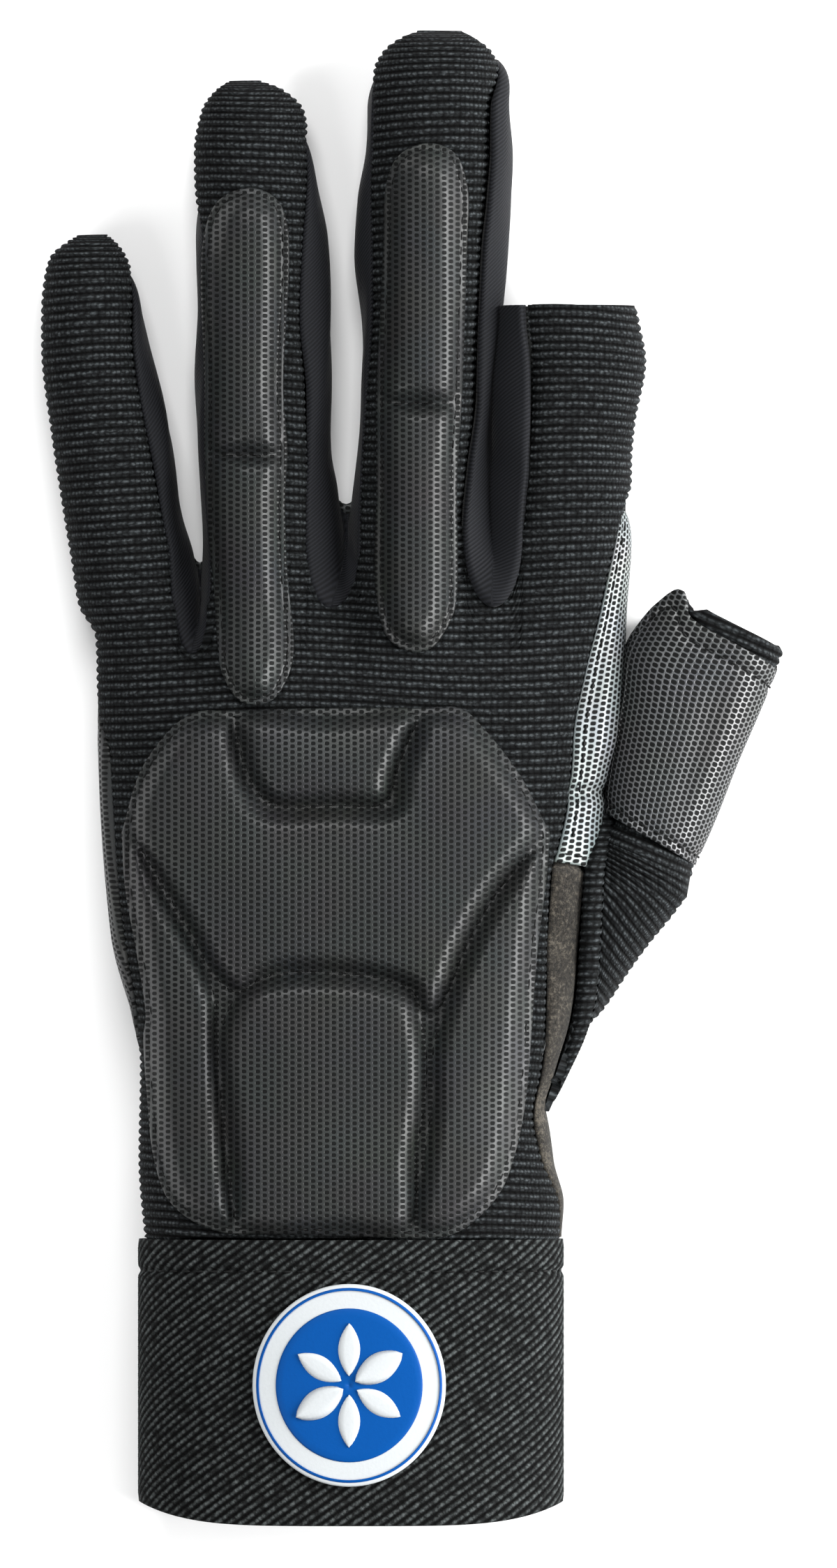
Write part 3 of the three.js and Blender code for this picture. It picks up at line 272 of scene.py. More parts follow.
# A broad light above the fingers, a bright low wall on the thumb side and a soft fill.
LIGHTS = (
    # name, place, aim, width, height, watts
    ("top_light", (-0.1, 0.9, 1.1), (0, 0, 0), 0.7, 0.7, 15),
    ("thumb_light", (0.95, -0.02, 0.42), (0, 0, 0.02), 0.9, 0.7, 33),
    ("fill_light", (-0.9, -0.5, 1.0), (0, 0, 0), 0.8, 0.8, 9),
)

# The solids were centred on their footprint, so the tables move by the same step.
cuff_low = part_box("wrist_cuff")[0]
SHIFT = np.array([cuff_low.x / MM - CUFF["left"], cuff_low.y / MM - CUFF["bottom"], 0.0])


def linear(hex_colour):
    """An sRGB hex colour as linear red, green and blue."""
    parts = [int(hex_colour[i : i + 2], 16) / 255 for i in (1, 3, 5)]
    return tuple(p / 12.92 if p <= 0.04045 else ((p + 0.055) / 1.055) ** 2.4 for p in parts)


# Sizes and colours that a user may change


def length(label, text, default):
    return FloatProperty(name=label, description=text, default=default * MM, unit="LENGTH", precision=5)


def colour(label, text, default):
    return FloatVectorProperty(
        name=label, description=text, default=linear(default), subtype="COLOR", min=0, max=1
    )


class GloveSizes(bpy.types.PropertyGroup):
    seam_gap: length("Seam gap", "Free space between two panels that are sewn together", 0.12)
    knit_wall: length("Knit wall", "Thickness of the ribbed knit and the twill", 1.5)
    leather_wall: length("Leather wall", "Thickness of the thin leather", 1.3)
    elastic_wall: length("Elastic wall", "Thickness of the wrist elastic", 1.9)
    rib_pitch: length("Rib pitch", "Distance from one knit rib to the next", 1.45)
    rib_height: length("Rib height", "How far a knit rib stands up", 0.55)
    elastic_pitch: length("Elastic pitch", "Distance between the diagonal ribs of the elastic", 1.27)
    elastic_rib: length("Elastic rib height", "How far a rib of the elastic stands up", 0.2)
    flange: length("Flange", "Thickness of the stitched rim of each pad", 1.5)
    cushion: length("Cushion", "Height of a filled cushion above the knit", 5.2)
    shoulder: length("Cushion shoulder", "Width over which a cushion rises to its full height", 3.4)
    stitch: length("Stitch", "Length of one stitch", 1.9)
    stitch_gap: length("Stitch gap", "Space between two stitches", 0.7)
    thread: length("Thread", "Diameter of the sewing thread", 0.42)
    dent_across: length("Dent pitch across", "Distance between two columns of dents", 1.2)
    dent_along: length("Dent pitch along", "Distance between two dents of a column", 1.0)


class GloveColours(bpy.types.PropertyGroup):
    knit: colour("Knit", "Yarn of the ribbed knit", "#191b1c")
    leather: colour("Leather", "Raised net of the dented leather", "#282a2a")
    # The patch and the sleeve are the same dented leather as the pads; their lighter nets are a painted
    # highlight where they face the low light on the thumb side.
    patch: colour("Patch leather", "The same on the patch beside the index finger", "#767d7e")
    sleeve: colour("Sleeve leather", "The same on the sleeve of the thumb", "#3b3e3f")
    # The dark bottoms of the dents are painted shade in the recesses of the leather.
    dent: colour("Dents", "Bottom of the dents", "#060707")
    twill: colour("Twill", "Stretch twill between the fingers", "#131417")
    suede: colour("Suede", "Brushed gusset beside the thumb", "#2a2722")
    elastic: colour("Elastic", "Wrist elastic", "#1c1e1e")
    thread: colour("Thread", "Sewing thread", "#0a0b0b")
    badge_white: colour("Badge white", "Ground of the badge", "#b4b8ba")
    badge_blue: colour("Badge blue", "Raised pattern of the badge", "#004387")
    floor: colour("Floor", "Paper that the glove lies on", "#ffffff")


# The skin of the glove


class Table:
    """Rows of named columns, read on a smooth curve that never overshoots a row."""

    def __init__(self, columns, rows):
        data = np.array(sorted(rows), float)
        self.where = data[:, 0]
        self.columns = {name: data[:, i] for i, name in enumerate(columns)}

    def at(self, name, where):
        x, y = self.where, self.columns[name]
        where = np.asarray(where, float)
        step = np.diff(x)
        slope = np.diff(y) / step
        same = slope[:-1] * slope[1:] > 0
        total = np.where(same, slope[:-1] + slope[1:], 1.0)
        inner = np.where(same, 2 * slope[:-1] * slope[1:] / total, 0.0)
        tangent = np.concatenate([slope[:1], inner, slope[-1:]])
        i = np.clip(np.searchsorted(x, where) - 1, 0, len(x) - 2)
        t = limit((where - x[i]) / step[i])
        rise = (y[i + 1] - y[i]) * (3 - 2 * t) * t**2
        return y[i] + rise + step[i] * t * (1 - t) * (tangent[i] * (1 - t) - tangent[i + 1] * t)


FINGERS = {name: Table(FINGER_COLUMNS, rows) for name, rows in FINGER_ROWS.items()}
HAND = Table(HAND_COLUMNS, HAND_ROWS)
THUMB = Table(THUMB_COLUMNS, THUMB_ROWS)
BASE = Table(BASE_COLUMNS, BASE_ROWS)
ROLL = Table(ROLL_COLUMNS, ROLL_ROWS)
RIM = Table(("angle", "v"), SLEEVE_RIM)
PALM_SEAM = Table(("y", "angle"), PALM_EDGE)
THUMB_SEAM = Table(("y", "angle"), THUMB_EDGE)


def lerp(a, b, share):
    return a + (b - a) * share


def limit(share):
    """A share held between 0 and 1."""
    return np.clip(share, 0, 1)


def smooth(share):
    return share * share * (3 - 2 * share)


def round_mix(share):
    """Shares of a half turn, ready to mix points with."""
    return ((1 - np.cos(np.pi * share)) / 2)[..., None]


def power(value, exponent):
    return np.sign(value) * np.abs(value) ** exponent


def points(x, y, z):
    return np.stack(np.broadcast_arrays(x, y, z), axis=-1)


def arc_length(line):
    """How far along a line each of its points lies."""
    return np.concatenate([[0], np.cumsum(np.linalg.norm(np.diff(line, axis=0), axis=1))])


def crown(off, square):
    """Height share of a section at an offset of 0 to 1 from its middle."""
    off = limit(np.abs(off))
    return (1 - off ** (2 / square)) ** (square / 2)


def hand_height(x, y, upper, depth):
    """Height of the skin of the wide hand, above or below its widest points."""
    top, middle = HAND.at("top", y), HAND.at("middle", y)
    left, right = FINGERS["little"].at("left", y), FINGERS["index"].at("right", y)
    share = crown((x - (left + right) / 2) / ((right - left) / 2 - depth), PALM_SQUARE)
    over = middle + (top - middle - depth) * share
    under = np.maximum(depth, middle - (middle + HAND_SINK - depth) * share)
    return np.where(upper, over, under)


def blend_at(y):
    """How far the stalls have melted into the hand."""
    return smooth(limit((BLEND_START - y) / (BLEND_START - BLEND_END)))


def skin(name, degrees, y, depth=0.0):
    """Points of the glove's skin: a stall by name, an angle round it, a y and a depth into the wall."""
    row = FINGERS[name]
    left, right, top, tip = (row.at(c, y) for c in ("left", "right", "top", "round"))
    turn = np.radians(degrees)
    full = (right - left) / 2
    half = np.maximum(full - depth, full * 0.35)
    x = (left + right) / 2 + half * power(np.cos(turn), SQUARE)
    upper = np.sin(turn) >= 0
    reach = np.where(upper, top - STALL_MIDDLE, STALL_MIDDLE + SINK) - depth
    stall = np.maximum(STALL_MIDDLE + reach * tip * power(np.sin(turn), SQUARE), depth)
    z = lerp(stall, hand_height(x, y, upper, depth), blend_at(y))
    return points(x, y - depth * (1 - tip), z)


def skin_top(name, x, y):
    """Height of the skin straight above points of the plan."""
    over = hand_height(x, y, True, 0.0)
    if not name:
        return over
    row = FINGERS[name]
    left, right, top, tip = (row.at(c, y) for c in ("left", "right", "top", "round"))
    share = crown((x - (left + right) / 2) / ((right - left) / 2), SQUARE)
    return lerp(STALL_MIDDLE + (top - STALL_MIDDLE) * tip * share, over, blend_at(y))


def stall_centre(name, y):
    return (FINGERS[name].at("left", y) + FINGERS[name].at("right", y)) / 2


def gap_turn(name, y, gap):
    """Half a seam gap as degrees round a stall."""
    half = (FINGERS[name].at("right", y) - FINGERS[name].at("left", y)) / 2
    return np.degrees(0.62 * gap / half)


def seams(name, side, y, gap):
    """The two seams of a stall, in degrees, on the back or on the palm."""
    turn = gap_turn(name, y, gap)
    low = SIDE_SEAM * limit((FINGERS[name].at("round", y) - 0.5) / 0.36)
    left = np.minimum(FINGERS[name].at("seam_left", y), 180 + low)
    right = np.maximum(FINGERS[name].at("seam_right", y), -low)
    if side == "back":
        return left - turn, right + turn
    outer_left = left if name == "little" else 180 + low
    outer_right = PALM_SEAM.at("angle", y) if name == "index" else -low
    return outer_left + turn, outer_right - turn + 360


def bridge(web, side, share, y, depth, gap):
    """Points of the sheet between two stalls, at a share of the way from the left one."""
    first, second = web["pair"]
    a = skin(first, seams(first, side, y, gap)[1], y, depth)
    b = skin(second, seams(second, side, y, gap)[0], y, depth)
    return points(0, y, 0) * [0, 1, 0] + lerp(a, b, round_mix(share)) * [1, 0, 1]


# Meshes


def new_cloth():
    bm = bmesh.new()
    bm.verts.layers.float_vector.new("cloth")
    return bm


def lay_grid(bm, columns, rows, place, trace):
    """Adds a grid to a bmesh, a new one if none is given, and returns it.

    Its points move to place(across, along), both from 0 to 1.
    trace(across, along, points) gives the two cloth coordinates in millimetres, which the
    weave and the dents follow.
    """
    bm = bm or new_cloth()
    made = bmesh.ops.create_grid(bm, x_segments=columns, y_segments=rows, size=0.5)["verts"]
    flat = np.array([v.co[:2] for v in made]) + 0.5
    moved = place(flat[:, 0], flat[:, 1])
    cloth = trace(flat[:, 0], flat[:, 1], moved)
    layer = bm.verts.layers.float_vector["cloth"]
    for vert, at, mark in zip(made, (moved + SHIFT) * MM, cloth):
        vert.co = at
        vert[layer] = (mark[0] * MM, mark[1] * MM, 0.0)
    return bm


def turn_over(bm, score):
    """Turns a mesh over if its faces look the wrong way, by the sum of a score of each."""
    bm.normal_update()
    if sum(score(f) for f in bm.faces) < 0:
        bmesh.ops.reverse_faces(bm, faces=bm.faces)


def add_object(name, data):
    made = bpy.data.objects.new(name, data)
    bpy.context.scene.collection.objects.link(made)
    return made


def add_mesh(bm, name, material):
    """Turns a bmesh into an object."""
    mesh = bpy.data.meshes.new(name)
    bm.to_mesh(mesh)
    bm.free()
    mesh.materials.append(material_of(material))
    return add_object(name, mesh)


def finish_piece(bm, name, material, replaces=(), wall=0.0, middle=None):
    """Turns a bmesh into a piece of the glove, whose faces look away from a middle."""
    for vert in bm.verts:
        vert.co.z = max(vert.co.z, 0.0)
    bmesh.ops.remove_doubles(bm, verts=bm.verts, dist=WELD * MM)
    bm.normal_update()
    if middle is not None:
        centre = Vector(middle) * MM
        turn_over(bm, lambda f: (f.calc_center_median() - centre).dot(f.normal) * f.calc_area())
    piece = add_mesh(bm, name, material)
    piece.data.shade_smooth()
    if wall:
        thick = piece.modifiers.new("wall", "SOLIDIFY")
        thick.thickness = wall
        thick.offset = -1
    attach(piece, "root")
    if replaces:
        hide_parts(*replaces)
    return piece


def rib(along, pitch, height):
    """Height of a knit rib: a round ridge between narrow grooves."""
    return height * np.abs(np.sin(np.pi * along / pitch)) ** 0.7


def rib_line(at, name=None):
    """Where points lie across the ribs, which bow round the stalls and sway over the hand."""
    x, y = at[:, 0], at[:, 1]
    sway = 0.7 * np.sin(x / 11 + y / 31)
    if not name:
        return y + sway
    over_tip = 6 * (1 - FINGERS[name].at("round", y))
    bow = 0.4 * ((x - stall_centre(name, y)) / 11) ** 2 * limit((y - 43) / 20)
    return y + sway + over_tip + bow


def soft_folds(x, y, cloth):
    """Slow waves of a cloth, up and down."""
    high, size = FOLDS[cloth]
    a = np.sin(x / size + 0.9 * np.sin(y / (1.7 * size)))
    b = np.sin(y / (1.3 * size) + 1.4 * np.sin(x / (1.1 * size)) + 1.0)
    return 0.5 * high * (a + b)


def from_edges(share, width):
    """0 at both edges of a panel and 1 from a width inside them."""
    return limit(np.minimum(share, 1 - share) / width)


def ridge_at(place, width):
    """A low ridge along a line: 1 on it and 0 some widths away."""
    return np.exp(-((place / width) ** 2))


def edge_dip(share, width, deep):
    """Depth of a panel's edge, where the seam pulls it down."""
    away = np.minimum(share, 1 - share) * width
    return deep * np.exp(-away / DIP_REACH)


def hand_wall(side, relief, gap, columns, web_columns, row_step):
    """The back or the palm of the hand with its stalls, as one sheet."""
    bm = new_cloth()
    names = list(FINGERS)
    join = BACK_JOIN if side == "back" else PALM_JOIN
    low_rows = max(4, round(14 / row_step))
    palm_rows = round((join - WRIST) / row_step)

    for i, name in enumerate(names):
        tip = FINGER_ROWS[name][0][0]
        left_start, right_start = WEBS[max(i - 1, 0)][side], WEBS[min(i, len(WEBS) - 1)][side]
        tip_rows = round((tip - min(left_start, right_start)) / row_step)
        total = tip_rows + low_rows + palm_rows

        def level(across, along):
            row = along * total
            start = lerp(left_start, right_start, across)
            upper = lerp(tip, start, limit(row / tip_rows) ** 1.15)
            lower = lerp(start, join, (row - tip_rows) / low_rows)
            palm = lerp(join, WRIST, (row - tip_rows - low_rows) / palm_rows)
            return np.where(row <= tip_rows, upper, np.where(row <= tip_rows + low_rows, lower, palm))

        def place(across, along):
            y = level(across, along)
            left, right = seams(name, side, y, gap)
            turn = lerp(left, right, across)
            return skin(name, turn, y, relief(skin(name, turn, y), across, name))

        def trace(across, along, at):
            centre = stall_centre(name, at[:, 1])
            turned = skin_top(name, centre, at[:, 1]) - at[:, 2] if side == "back" else at[:, 2]
            outer = (at[:, 0] < centre) & (i == 0) | (at[:, 0] > centre) & (i == len(WEBS))
            turned = turned * np.where(outer, 1, 1 - blend_at(at[:, 1]))
            return points(at[:, 0] + turned * np.sign(at[:, 0] - centre), rib_line(at, name), 0)

        lay_grid(bm, columns, total, place, trace)
        if i == len(WEBS):
            continue
        web = WEBS[i]

        def place_web(across, along):
            row = along * (low_rows + palm_rows)
            drop = web[side + "_drop"] + gap
            hang = web[side] - drop * np.sin(np.pi * across)
            y = np.where(
                row <= low_rows,
                lerp(hang, join, row / low_rows),
                lerp(join, WRIST, (row - low_rows) / palm_rows),
            )
            on_top = bridge(web, side, across, y, 0.0, gap)
            return bridge(web, side, across, y, relief(on_top, 0.5, None), gap)

        lay_grid(
            bm, web_columns, low_rows + palm_rows, place_web,
            lambda a, b, at: points(at[:, 0], rib_line(at), 0),
        )
    return bm


def twill_sheet(web, tops, gap, side_rows, web_rows, columns):
    """The twill between two fingers: down one side, round the web and up the next side."""
    first, second = web["pair"]
    rows = 2 * side_rows + web_rows

    def back_seam(name, right, y):
        return FINGERS[name].at("seam_right" if right else "seam_left", y)

    def side_point(name, right, share, q, depth):
        top = tops[0] if right else tops[1]
        y = lerp(top, lerp(web["back"], web["palm"], q), share)
        turn = gap_turn(name, y, gap)
        back = back_seam(name, right, y)
        bottom = SIDE_SEAM - turn * (1.4 - 0.4 * share)
        low = -bottom if right else 180 + bottom
        free = turn * (1 + 2.4 * (1 - share))
        if name != "index":  # its end goes in beside the closed fingertip
            depth = depth + 1.1 * np.exp((y - top) / 2.5)
        return skin(name, lerp(back + (-free if right else free), low, q), y, depth)

    def edge_point(side, share, depth):
        y = web[side] - (web[side + "_drop"] + depth) * np.sin(np.pi * share)

        def seam(name, right):
            turn = gap_turn(name, y, gap)
            back = back_seam(name, right, y) + (-turn if right else turn)
            low = -SIDE_SEAM + turn if right else 180 + SIDE_SEAM - turn
            return skin(name, low if side == "palm" else back, y, depth)

        flat = lerp(seam(first, True), seam(second, False), round_mix(share))
        return points(flat[:, 0], y, flat[:, 2])

    def chord(share, q, depth):
        return lerp(edge_point("back", share, depth), edge_point("palm", share, depth), q[..., None])

    def webbing(share, q, depth):
        mix = round_mix(share)
        zero, one = np.zeros_like(share), np.ones_like(share)
        start = side_point(first, True, one, q, depth) - chord(zero, q, depth)
        end = side_point(second, False, one, q, depth) - chord(one, q, depth)
        return chord(share, q, depth) + start * (1 - mix) + end * mix

    def place(across, along):
        q = 1 - across
        row = along * rows
        folds = soft_folds(row / side_rows * 24 + 6 * q, 9 * q + row * 0.05, "twill")
        depth = -folds * np.sin(np.pi * across) ** 0.5 + edge_dip(across, width=9, deep=0.35)
        going = side_point(first, True, limit(row / side_rows), q, depth)
        coming = side_point(second, False, limit((rows - row) / side_rows), q, depth)
        bottom = webbing(limit((row - side_rows) / web_rows), q, depth)
        upper = (row <= side_rows)[:, None]
        last = (row >= rows - side_rows)[:, None]
        return np.where(upper, going, np.where(last, coming, bottom))

    def trace(across, along, at):
        return points(across * 13, at[:, 1] * np.where(along < 0.5, 1, -1), 0)

    return lay_grid(None, columns, rows, place, trace)


def tube_section(left, right, top, middle, degrees, inset):
    """Place across and height of a point of a squarish tube, moved in by inset."""
    turn = np.radians(degrees)
    across = (left + right) / 2 + ((right - left) / 2 - inset) * power(np.cos(turn), SQUARE)
    reach = np.where(np.sin(turn) >= 0, top - middle, middle + SINK) - inset
    return across, middle + reach * power(np.sin(turn), SQUARE)


def from_thumb(u, v, z):
    x = THUMB_ORIGIN[0] + u * math.cos(THUMB_LEAN) + v * math.sin(THUMB_LEAN)
    y = THUMB_ORIGIN[1] - u * math.sin(THUMB_LEAN) + v * math.cos(THUMB_LEAN)
    return points(x, y, z)


def thumb_along(at):
    """How far points lie towards the tip of the thumb."""
    x, y = at[:, 0] - THUMB_ORIGIN[0], at[:, 1] - THUMB_ORIGIN[1]
    return x * math.sin(THUMB_LEAN) + y * math.cos(THUMB_LEAN)


def hem_of(degrees):
    """Where the sleeve ends at the base of the thumb, at an angle round it."""
    return SLEEVE_HEM - HEM_SLANT * np.cos(np.radians(degrees))


def base_ribs(at):
    """Where points lie across the ribs of the thumb's base, which fan out from the hem."""
    share = limit((-2 - thumb_along(at)) / 12)
    turn = lerp(math.pi / 2 - THUMB_LEAN, math.radians(38), smooth(share))
    x, y = at[:, 0] - FAN_CENTRE[0], at[:, 1] - FAN_CENTRE[1]
    return x * np.cos(turn) + y * np.sin(turn) + thumb_along(np.array([FAN_CENTRE]))


def thumb_skin(degrees, v, inset):
    """Points of the thumb tube; inset moves them in from the outside of the leather sleeve."""
    left, right, top = (THUMB.at(c, v) for c in ("left", "right", "top"))
    u, z = tube_section(left, right, top, THUMB_MIDDLE, degrees, inset)
    return from_thumb(u, v, np.maximum(z, inset))


# Pads and stitches, drawn in plan


def closed_curve(corners, spacing):
    """A smooth closed line through listed corners, as evenly spaced points."""
    corners = np.array(corners, float)
    before, after = np.roll(corners, 1, 0), np.roll(corners, -1, 0)
    beyond = np.roll(corners, -2, 0)
    # roots of the chords keep the curve from swinging out at a tight corner
    knots = [np.sqrt(np.linalg.norm(b - a, axis=1))[:, None] for a, b in
             ((before, corners), (corners, after), (after, beyond))]
    start = knots[1] * ((corners - before) / knots[0] - (after - before) / (knots[0] + knots[1])
                        + (after - corners) / knots[1])
    end = knots[1] * ((after - corners) / knots[1] - (beyond - corners) / (knots[1] + knots[2])
                      + (beyond - after) / knots[2])
    t = (np.arange(24) / 24)[None, :, None]
    a, b, m, n = corners[:, None], after[:, None], start[:, None], end[:, None]
    line = (2 * t**3 - 3 * t**2 + 1) * a + (t**3 - 2 * t**2 + t) * m
    line = (line + (3 * t**2 - 2 * t**3) * b + (t**3 - t**2) * n).reshape(-1, 2)
    closed = np.vstack([line, line[:1]])
    run = arc_length(closed)
    count = max(8, round(run[-1] / spacing))
    where = np.arange(count) / count * run[-1]
    return np.stack([np.interp(where, run, closed[:, k]) for k in (0, 1)], axis=-1)


def inside(ring, at):
    """Which points of the plan lie inside a closed line."""
    odd = np.zeros(len(at), bool)
    for (x0, y0), (x1, y1) in zip(ring, np.roll(ring, -1, 0)):
        crosses = (y0 > at[:, 1]) != (y1 > at[:, 1])
        rise = y1 - y0 if y1 != y0 else 1e-9
        odd ^= crosses & (at[:, 0] < (x1 - x0) * (at[:, 1] - y0) / rise + x0)
    return odd


def nearest(line, at):
    """Distance from each point to the nearest point of a line, and that point's number."""
    best = np.empty(len(at))
    which = np.empty(len(at), int)
    for first in range(0, len(at), 4000):
        part = at[first : first + 4000]
        gaps = np.linalg.norm(part[:, None] - line[None], axis=2)
        which[first : first + 4000] = gaps.argmin(1)
        best[first : first + 4000] = gaps.min(1)
    return best, which


def depth_in(ring, at):
    """Distance to a closed line, positive inside it, and the number of the nearest point."""
    away, which = nearest(ring, at)
    return np.where(inside(ring, at), away, -away), which


def offset_ring(ring, by):
    """A closed line moved outwards by a distance, which may be negative."""
    ahead = np.roll(ring, -2, 0) - np.roll(ring, 2, 0)
    side = np.stack([ahead[:, 1], -ahead[:, 0]], axis=-1)
    side /= np.linalg.norm(side, axis=1)[:, None]
    twice_area = np.sum(ring[:, 0] * np.roll(ring[:, 1], -1) - np.roll(ring[:, 0], -1) * ring[:, 1])
    moved = ring + side * by * np.sign(twice_area)
    keep = np.abs(nearest(ring, moved)[0] - abs(by)) < 0.12
    return moved, keep


def runs(line, keep):
    """The unbroken stretches of a closed line, each a list of points."""
    if keep.all():
        return [np.vstack([line, line[:1]])]
    start = int(np.argmin(keep))
    line, keep = np.roll(line, -start, 0), np.roll(keep, -start)
    parts, current = [], []
    for point, good in zip(line, keep):
        if good:
            current.append(point)
        elif current:
            parts.append(np.array(current))
            current = []
    if current:
        parts.append(np.array(current))
    return [part for part in parts if len(part) > 6]


def pad_seams(ring, cushion_rings):
    """The stitched lines of a pad: one along its rim and one along each channel."""
    lines = runs(*offset_ring(ring, -RIM_SEAM))
    for cushion in cushion_rings:
        moved, keep = offset_ring(cushion, CHANNEL_SEAM)
        keep &= depth_in(ring, moved)[0] > 2 * RIM_SEAM
        keep &= nearest(np.vstack(lines), moved)[0] > 1.1
        lines += runs(moved, keep)
    return lines


def sew(bm, line, height_at, sizes):
    """Adds a thread bead for each stitch of a line: longer than its stitch and flatter than round."""
    line = np.asarray(line, float)
    run = arc_length(line)
    pitch = (sizes.stitch + sizes.stitch_gap) / MM
    for k in range(int(run[-1] / pitch)):
        ends = [(k + 0.12) * pitch, k * pitch + sizes.stitch / MM]
        a, b = (np.array([np.interp(e, run, line[:, c]) for c in range(line.shape[1])]) for e in ends)
        if height_at:
            a, b = (np.append(p, height_at(p[None])[0]) for p in (a, b))
        a, b = (Vector((p + SHIFT) * MM) for p in (a, b))
        lean = (b - a).to_track_quat("X", "Z").to_matrix().to_4x4()
        size = Matrix.Diagonal(((b - a).length * 0.56, sizes.thread * 0.52, sizes.thread * 0.42, 1))
        place = Matrix.Translation((a + b) / 2) @ lean @ size
        bmesh.ops.create_icosphere(bm, subdivisions=1, radius=1, matrix=place)


def stitch(name, lines, height_at=None):
    """A piece of thread beads along some lines."""
    bm = bmesh.new()
    for line in lines:
        sew(bm, line, height_at, bpy.context.scene.glove_sizes)
    finish_piece(bm, name, THREAD)


def pad_height(at, ring, cushion_rings, lines, round_width, sizes):
    """Height of a pad over the knit: the flange, the cushions and the grooves of the seams."""
    flange, full, shoulder = sizes.flange / MM, sizes.cushion / MM, sizes.shoulder / MM
    rim = np.clip(depth_in(ring, at)[0], 0, None)
    height = flange - 0.45 * limit(1 - rim / 0.6) ** 2
    filled = np.zeros(len(at))
    for cushion in cushion_rings:
        deep, which = depth_in(cushion, at)
        deep = deep + 0.85  # the filling presses the leather up to the stitches
        rise = np.sin(limit(deep / shoulder) * np.pi / 2)
        dome = 0.5 * (1 - np.exp(-np.clip(deep, 0, None) / 9))
        pucker = 0.09 * np.sin(which * CURVE_STEP / PUCKER_PITCH * 2 * np.pi)
        pucker *= np.exp(-np.clip(deep - 0.6, 0, None) / 1.4)
        plump = (full - flange - 0.4 + pucker) * rise + dome
        filled = np.maximum(filled, np.where(deep > 0, plump, 0))
    if round_width:
        filled *= 0.55 + 0.45 * np.sin(limit(rim / round_width) * np.pi / 2)
    groove = nearest(np.vstack(lines), at)[0]
    height += filled - 0.5 * ridge_at(groove, 0.45)
    return height + soft_folds(at[:, 0], at[:, 1], "pad")


def pad_sheet(name, corners, cushions, cell, round_width, sizes):
    """A padded leather piece as a closed body, and its stitched lines."""
    ring = closed_curve(corners, CURVE_STEP)
    cushion_rings = [closed_curve(c, CURVE_STEP) for c in cushions]
    lines = pad_seams(ring, cushion_rings)

    def height_at(plan):
        over_knit = pad_height(plan, ring, cushion_rings, lines, round_width, sizes)
        return skin_top(name, plan[:, 0], plan[:, 1]) + over_knit

    low, high = ring.min(0) - cell, ring.max(0) + cell
    count = np.ceil((high - low) / cell).astype(int)
    bm = new_cloth()
    verts = bmesh.ops.create_grid(bm, x_segments=count[0], y_segments=count[1], size=0.5)["verts"]
    at = low + (np.array([v.co[:2] for v in verts]) + 0.5) * (high - low)
    deep, which = depth_in(ring, at)
    bm.verts.index_update()
    near = deep < 0.45 * cell  # these move onto the outline, and the faces outside it go
    spare = [f for f in bm.faces if all(near[v.index] for v in f.verts)]
    at[near] = ring[which[near]]
    bmesh.ops.delete(bm, geom=spare, context="FACES_ONLY")
    used = [v for v in bm.verts if v.link_faces]
    numbers = [v.index for v in used]
    flat = at[numbers]
    top = height_at(flat)
    layer = bm.verts.layers.float_vector["cloth"]
    for vert, (x, y), z in zip(used, flat, top):
        vert.co = Vector(((x + SHIFT[0]) * MM, (y + SHIFT[1]) * MM, z * MM))
        vert[layer] = (x * MM, y * MM, 0.0)
    bmesh.ops.delete(bm, geom=[v for v in bm.verts if not v.link_faces], context="VERTS")
    bmesh.ops.remove_doubles(bm, verts=bm.verts, dist=0.01 * MM)
    turn_over(bm, lambda f: f.normal.z)
    # the underside is a copy of the top, let down onto the knit
    under = bmesh.ops.duplicate(bm, geom=bm.verts[:] + bm.edges[:] + bm.faces[:])
    copies = [g for g in under["geom"] if isinstance(g, bmesh.types.BMVert)]
    plan = np.array([v.co[:2] for v in copies]) / MM - SHIFT[:2]
    for vert, z in zip(copies, skin_top(name, plan[:, 0], plan[:, 1])):
        vert.co.z = (z + UNDER_PAD) * MM
    bmesh.ops.reverse_faces(bm, faces=[g for g in under["geom"] if isinstance(g, bmesh.types.BMFace)])
    rims = [e for e in bm.edges if e.is_boundary]
    bmesh.ops.bridge_loops(bm, edges=rims)
    return bm, lines, height_at


# Cuff and badge


def slanted(across, y):
    """Places along and across the slanting ribs of the elastic."""
    lean = math.radians(CUFF_LEAN)
    return across * math.cos(lean) + y * math.sin(lean), y * math.cos(lean) - across * math.sin(lean)


def cuff_top(x):
    half = (CUFF["right"] - CUFF["left"]) / 2
    off = (x - (CUFF["left"] + CUFF["right"]) / 2) / half
    return CUFF["middle"] + (CUFF["height"] - CUFF["middle"]) * crown(off, SQUARE)


def bend_over_cuff(bm):
    """Lays flat work on the rounded top of the cuff."""
    for vert in bm.verts:
        x = BADGE_CENTRE[0] + 0.955 * vert.co.x / MM
        y = BADGE_CENTRE[1] + vert.co.y / MM
        z = float(cuff_top(np.array(x))) + vert.co.z / MM
        vert.co = Vector((x + SHIFT[0], y + SHIFT[1], z)) * MM


def disc_layer(radius, low, high, inner=0.0, rings=10, around=96):
    """A flat disc or ring with a rounded upper edge, in millimetres round its own middle."""
    bm = bmesh.new()
    start = bm.verts.new((max(inner, 0.01) * MM, 0, low * MM))
    corners = [(radius, low), (radius, high - 0.3), (radius - 0.1, high - 0.1), (radius - 0.35, high)]
    spread = [lerp(radius - 0.35, max(inner, 0.01), (k + 1) / rings) for k in range(rings)]
    corners += [(r, high) for r in spread]
    previous, edges = start, []
    for r, z in corners:
        vert = bm.verts.new((r * MM, 0, z * MM))
        edges.append(bm.edges.new((previous, vert)))
        previous = vert
    edges.append(bm.edges.new((previous, start)))
    bmesh.ops.spin(
        bm, geom=edges + bm.verts[:], cent=(0, 0, 0), axis=(0, 0, 1), angle=2 * math.pi,
        steps=around, use_merge=True,
    )
    bmesh.ops.remove_doubles(bm, verts=bm.verts, dist=WELD * MM)
    bmesh.ops.recalc_face_normals(bm, faces=bm.faces)
    return bm


